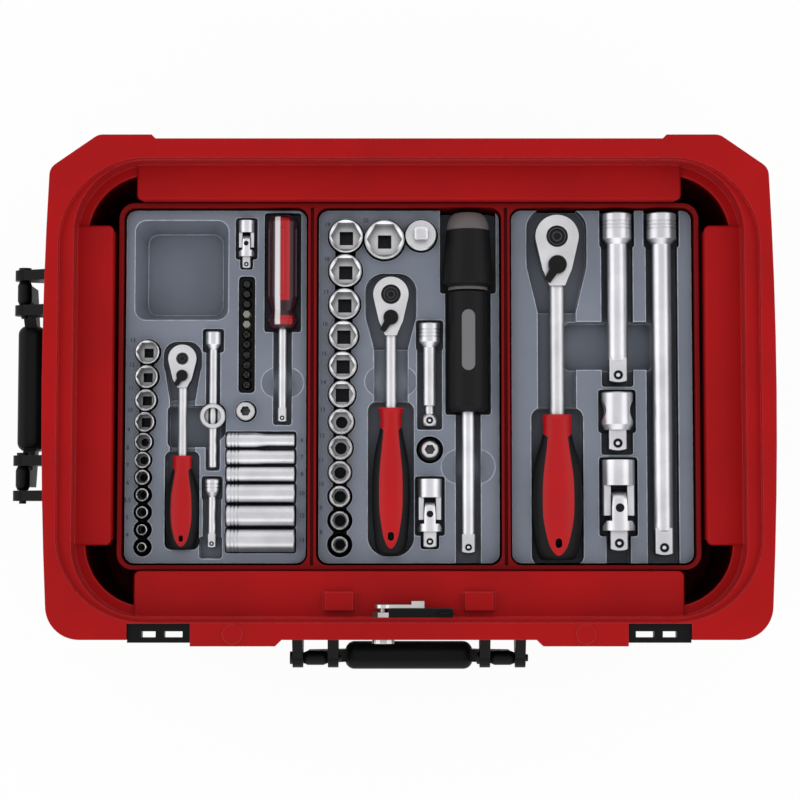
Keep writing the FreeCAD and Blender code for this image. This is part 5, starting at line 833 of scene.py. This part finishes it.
# %% Lamps
PANEL_SIZE = (3.0, 1.8)
PANEL_AIM = Vector((0.0, 0.0, 0.1))
PANELS = (
    ("panel_left", (-1.9, 0.15, 1.4), 15.0),
    ("panel_right", (1.9, 0.15, 1.4), 13.5),
    ("panel_rear", (0.0, 1.9, 1.4), 8.0),
    ("panel_front", (0.0, -1.9, 1.4), 14.5),
)
for name, place, power in PANELS:
    lamp = bpy.data.lights.new(name, "AREA")
    lamp.shape = "RECTANGLE"
    lamp.size, lamp.size_y = PANEL_SIZE
    lamp.energy = power
    holder = bpy.data.objects.new(name, lamp)
    holder.location = place
    holder.rotation_euler = (PANEL_AIM - Vector(place)).to_track_quat("-Z", "Y").to_euler()
    holder.visible_camera = False
    scene.collection.objects.link(holder)

# %% World
class Backdrop(Finish):
    """The same node maker, working on the world's nodes."""

    def __init__(self, name):
        self.world = bpy.data.worlds.new(name)
        self.world.use_nodes = True
        self.tree = self.world.node_tree
        self.shader = self.tree.nodes["Background"]


def seen(finish):
    """1 for rays that show the backdrop: to the camera, in a mirror or through glass."""
    direct = finish.node("LightPath", out="Is Camera Ray")
    mirror = finish.node("LightPath", out="Is Glossy Ray")
    through = finish.node("LightPath", out="Is Transmission Ray")
    return direct.most(mirror).most(through)


WHITE = (1.0, 1.0, 1.0)
DOME_STOPS = [(0.0, WHITE), (0.18, WHITE), (0.36, (0.46, 0.46, 0.47)),
              (0.70, (0.52, 0.52, 0.53)), (0.95, (0.76, 0.76, 0.77))]
SOFT_FILL = (0.68, 0.68, 0.68, 1.0)
studio = Backdrop("white_studio")
height = studio.node("SeparateXYZ", {}, {0: studio.node("TexCoord", out="Generated")}, out="Z")
dome = studio.node("ValToRGB", {"stops": DOME_STOPS}, {0: height})
studio.give("Color", between(studio, seen(studio), SOFT_FILL, dome))
studio.give("Strength", 1.0)
scene.world = studio.world
print("world is", scene.world.name)

# %% Floor
FLOOR_HALF = 4.0
FLOOR_SQUARES = 8
FLOOR_DROP = 0.2 * MM
FLOOR_GLOW = 0.94
PAPER_WHITE = (0.9, 0.9, 0.9, 1.0)
PAPER_ROUGH = 0.9

sheet = bmesh.new()
bmesh.ops.create_grid(sheet, x_segments=FLOOR_SQUARES, y_segments=FLOOR_SQUARES, size=FLOOR_HALF)
floor_mesh = bpy.data.meshes.new("studio_floor")
sheet.to_mesh(floor_mesh)
sheet.free()
floor = bpy.data.objects.new("studio_floor", floor_mesh)
floor.location.z = -FLOOR_DROP
scene.collection.objects.link(floor)

paper = Finish("studio_paper", Base_Color=PAPER_WHITE, Roughness=PAPER_ROUGH)
glow = paper.node("Emission", {}, {"Color": (*WHITE, 1.0), "Strength": 1.0})
plain = Flow(paper, paper.shader.outputs[0])
mixed = paper.node("MixShader", {}, {0: seen(paper) * FLOOR_GLOW, 1: plain, 2: glow})
paper.feed(paper.tree.nodes["Material Output"].inputs["Surface"], mixed)
floor_mesh.materials.append(paper.material)
print("floor is", 2 * FLOOR_HALF, "m wide")

# %% [markdown]
# The plain Standard view shows each colour about as it was written.

# %% Finish
scene.view_settings.view_transform = "Standard"
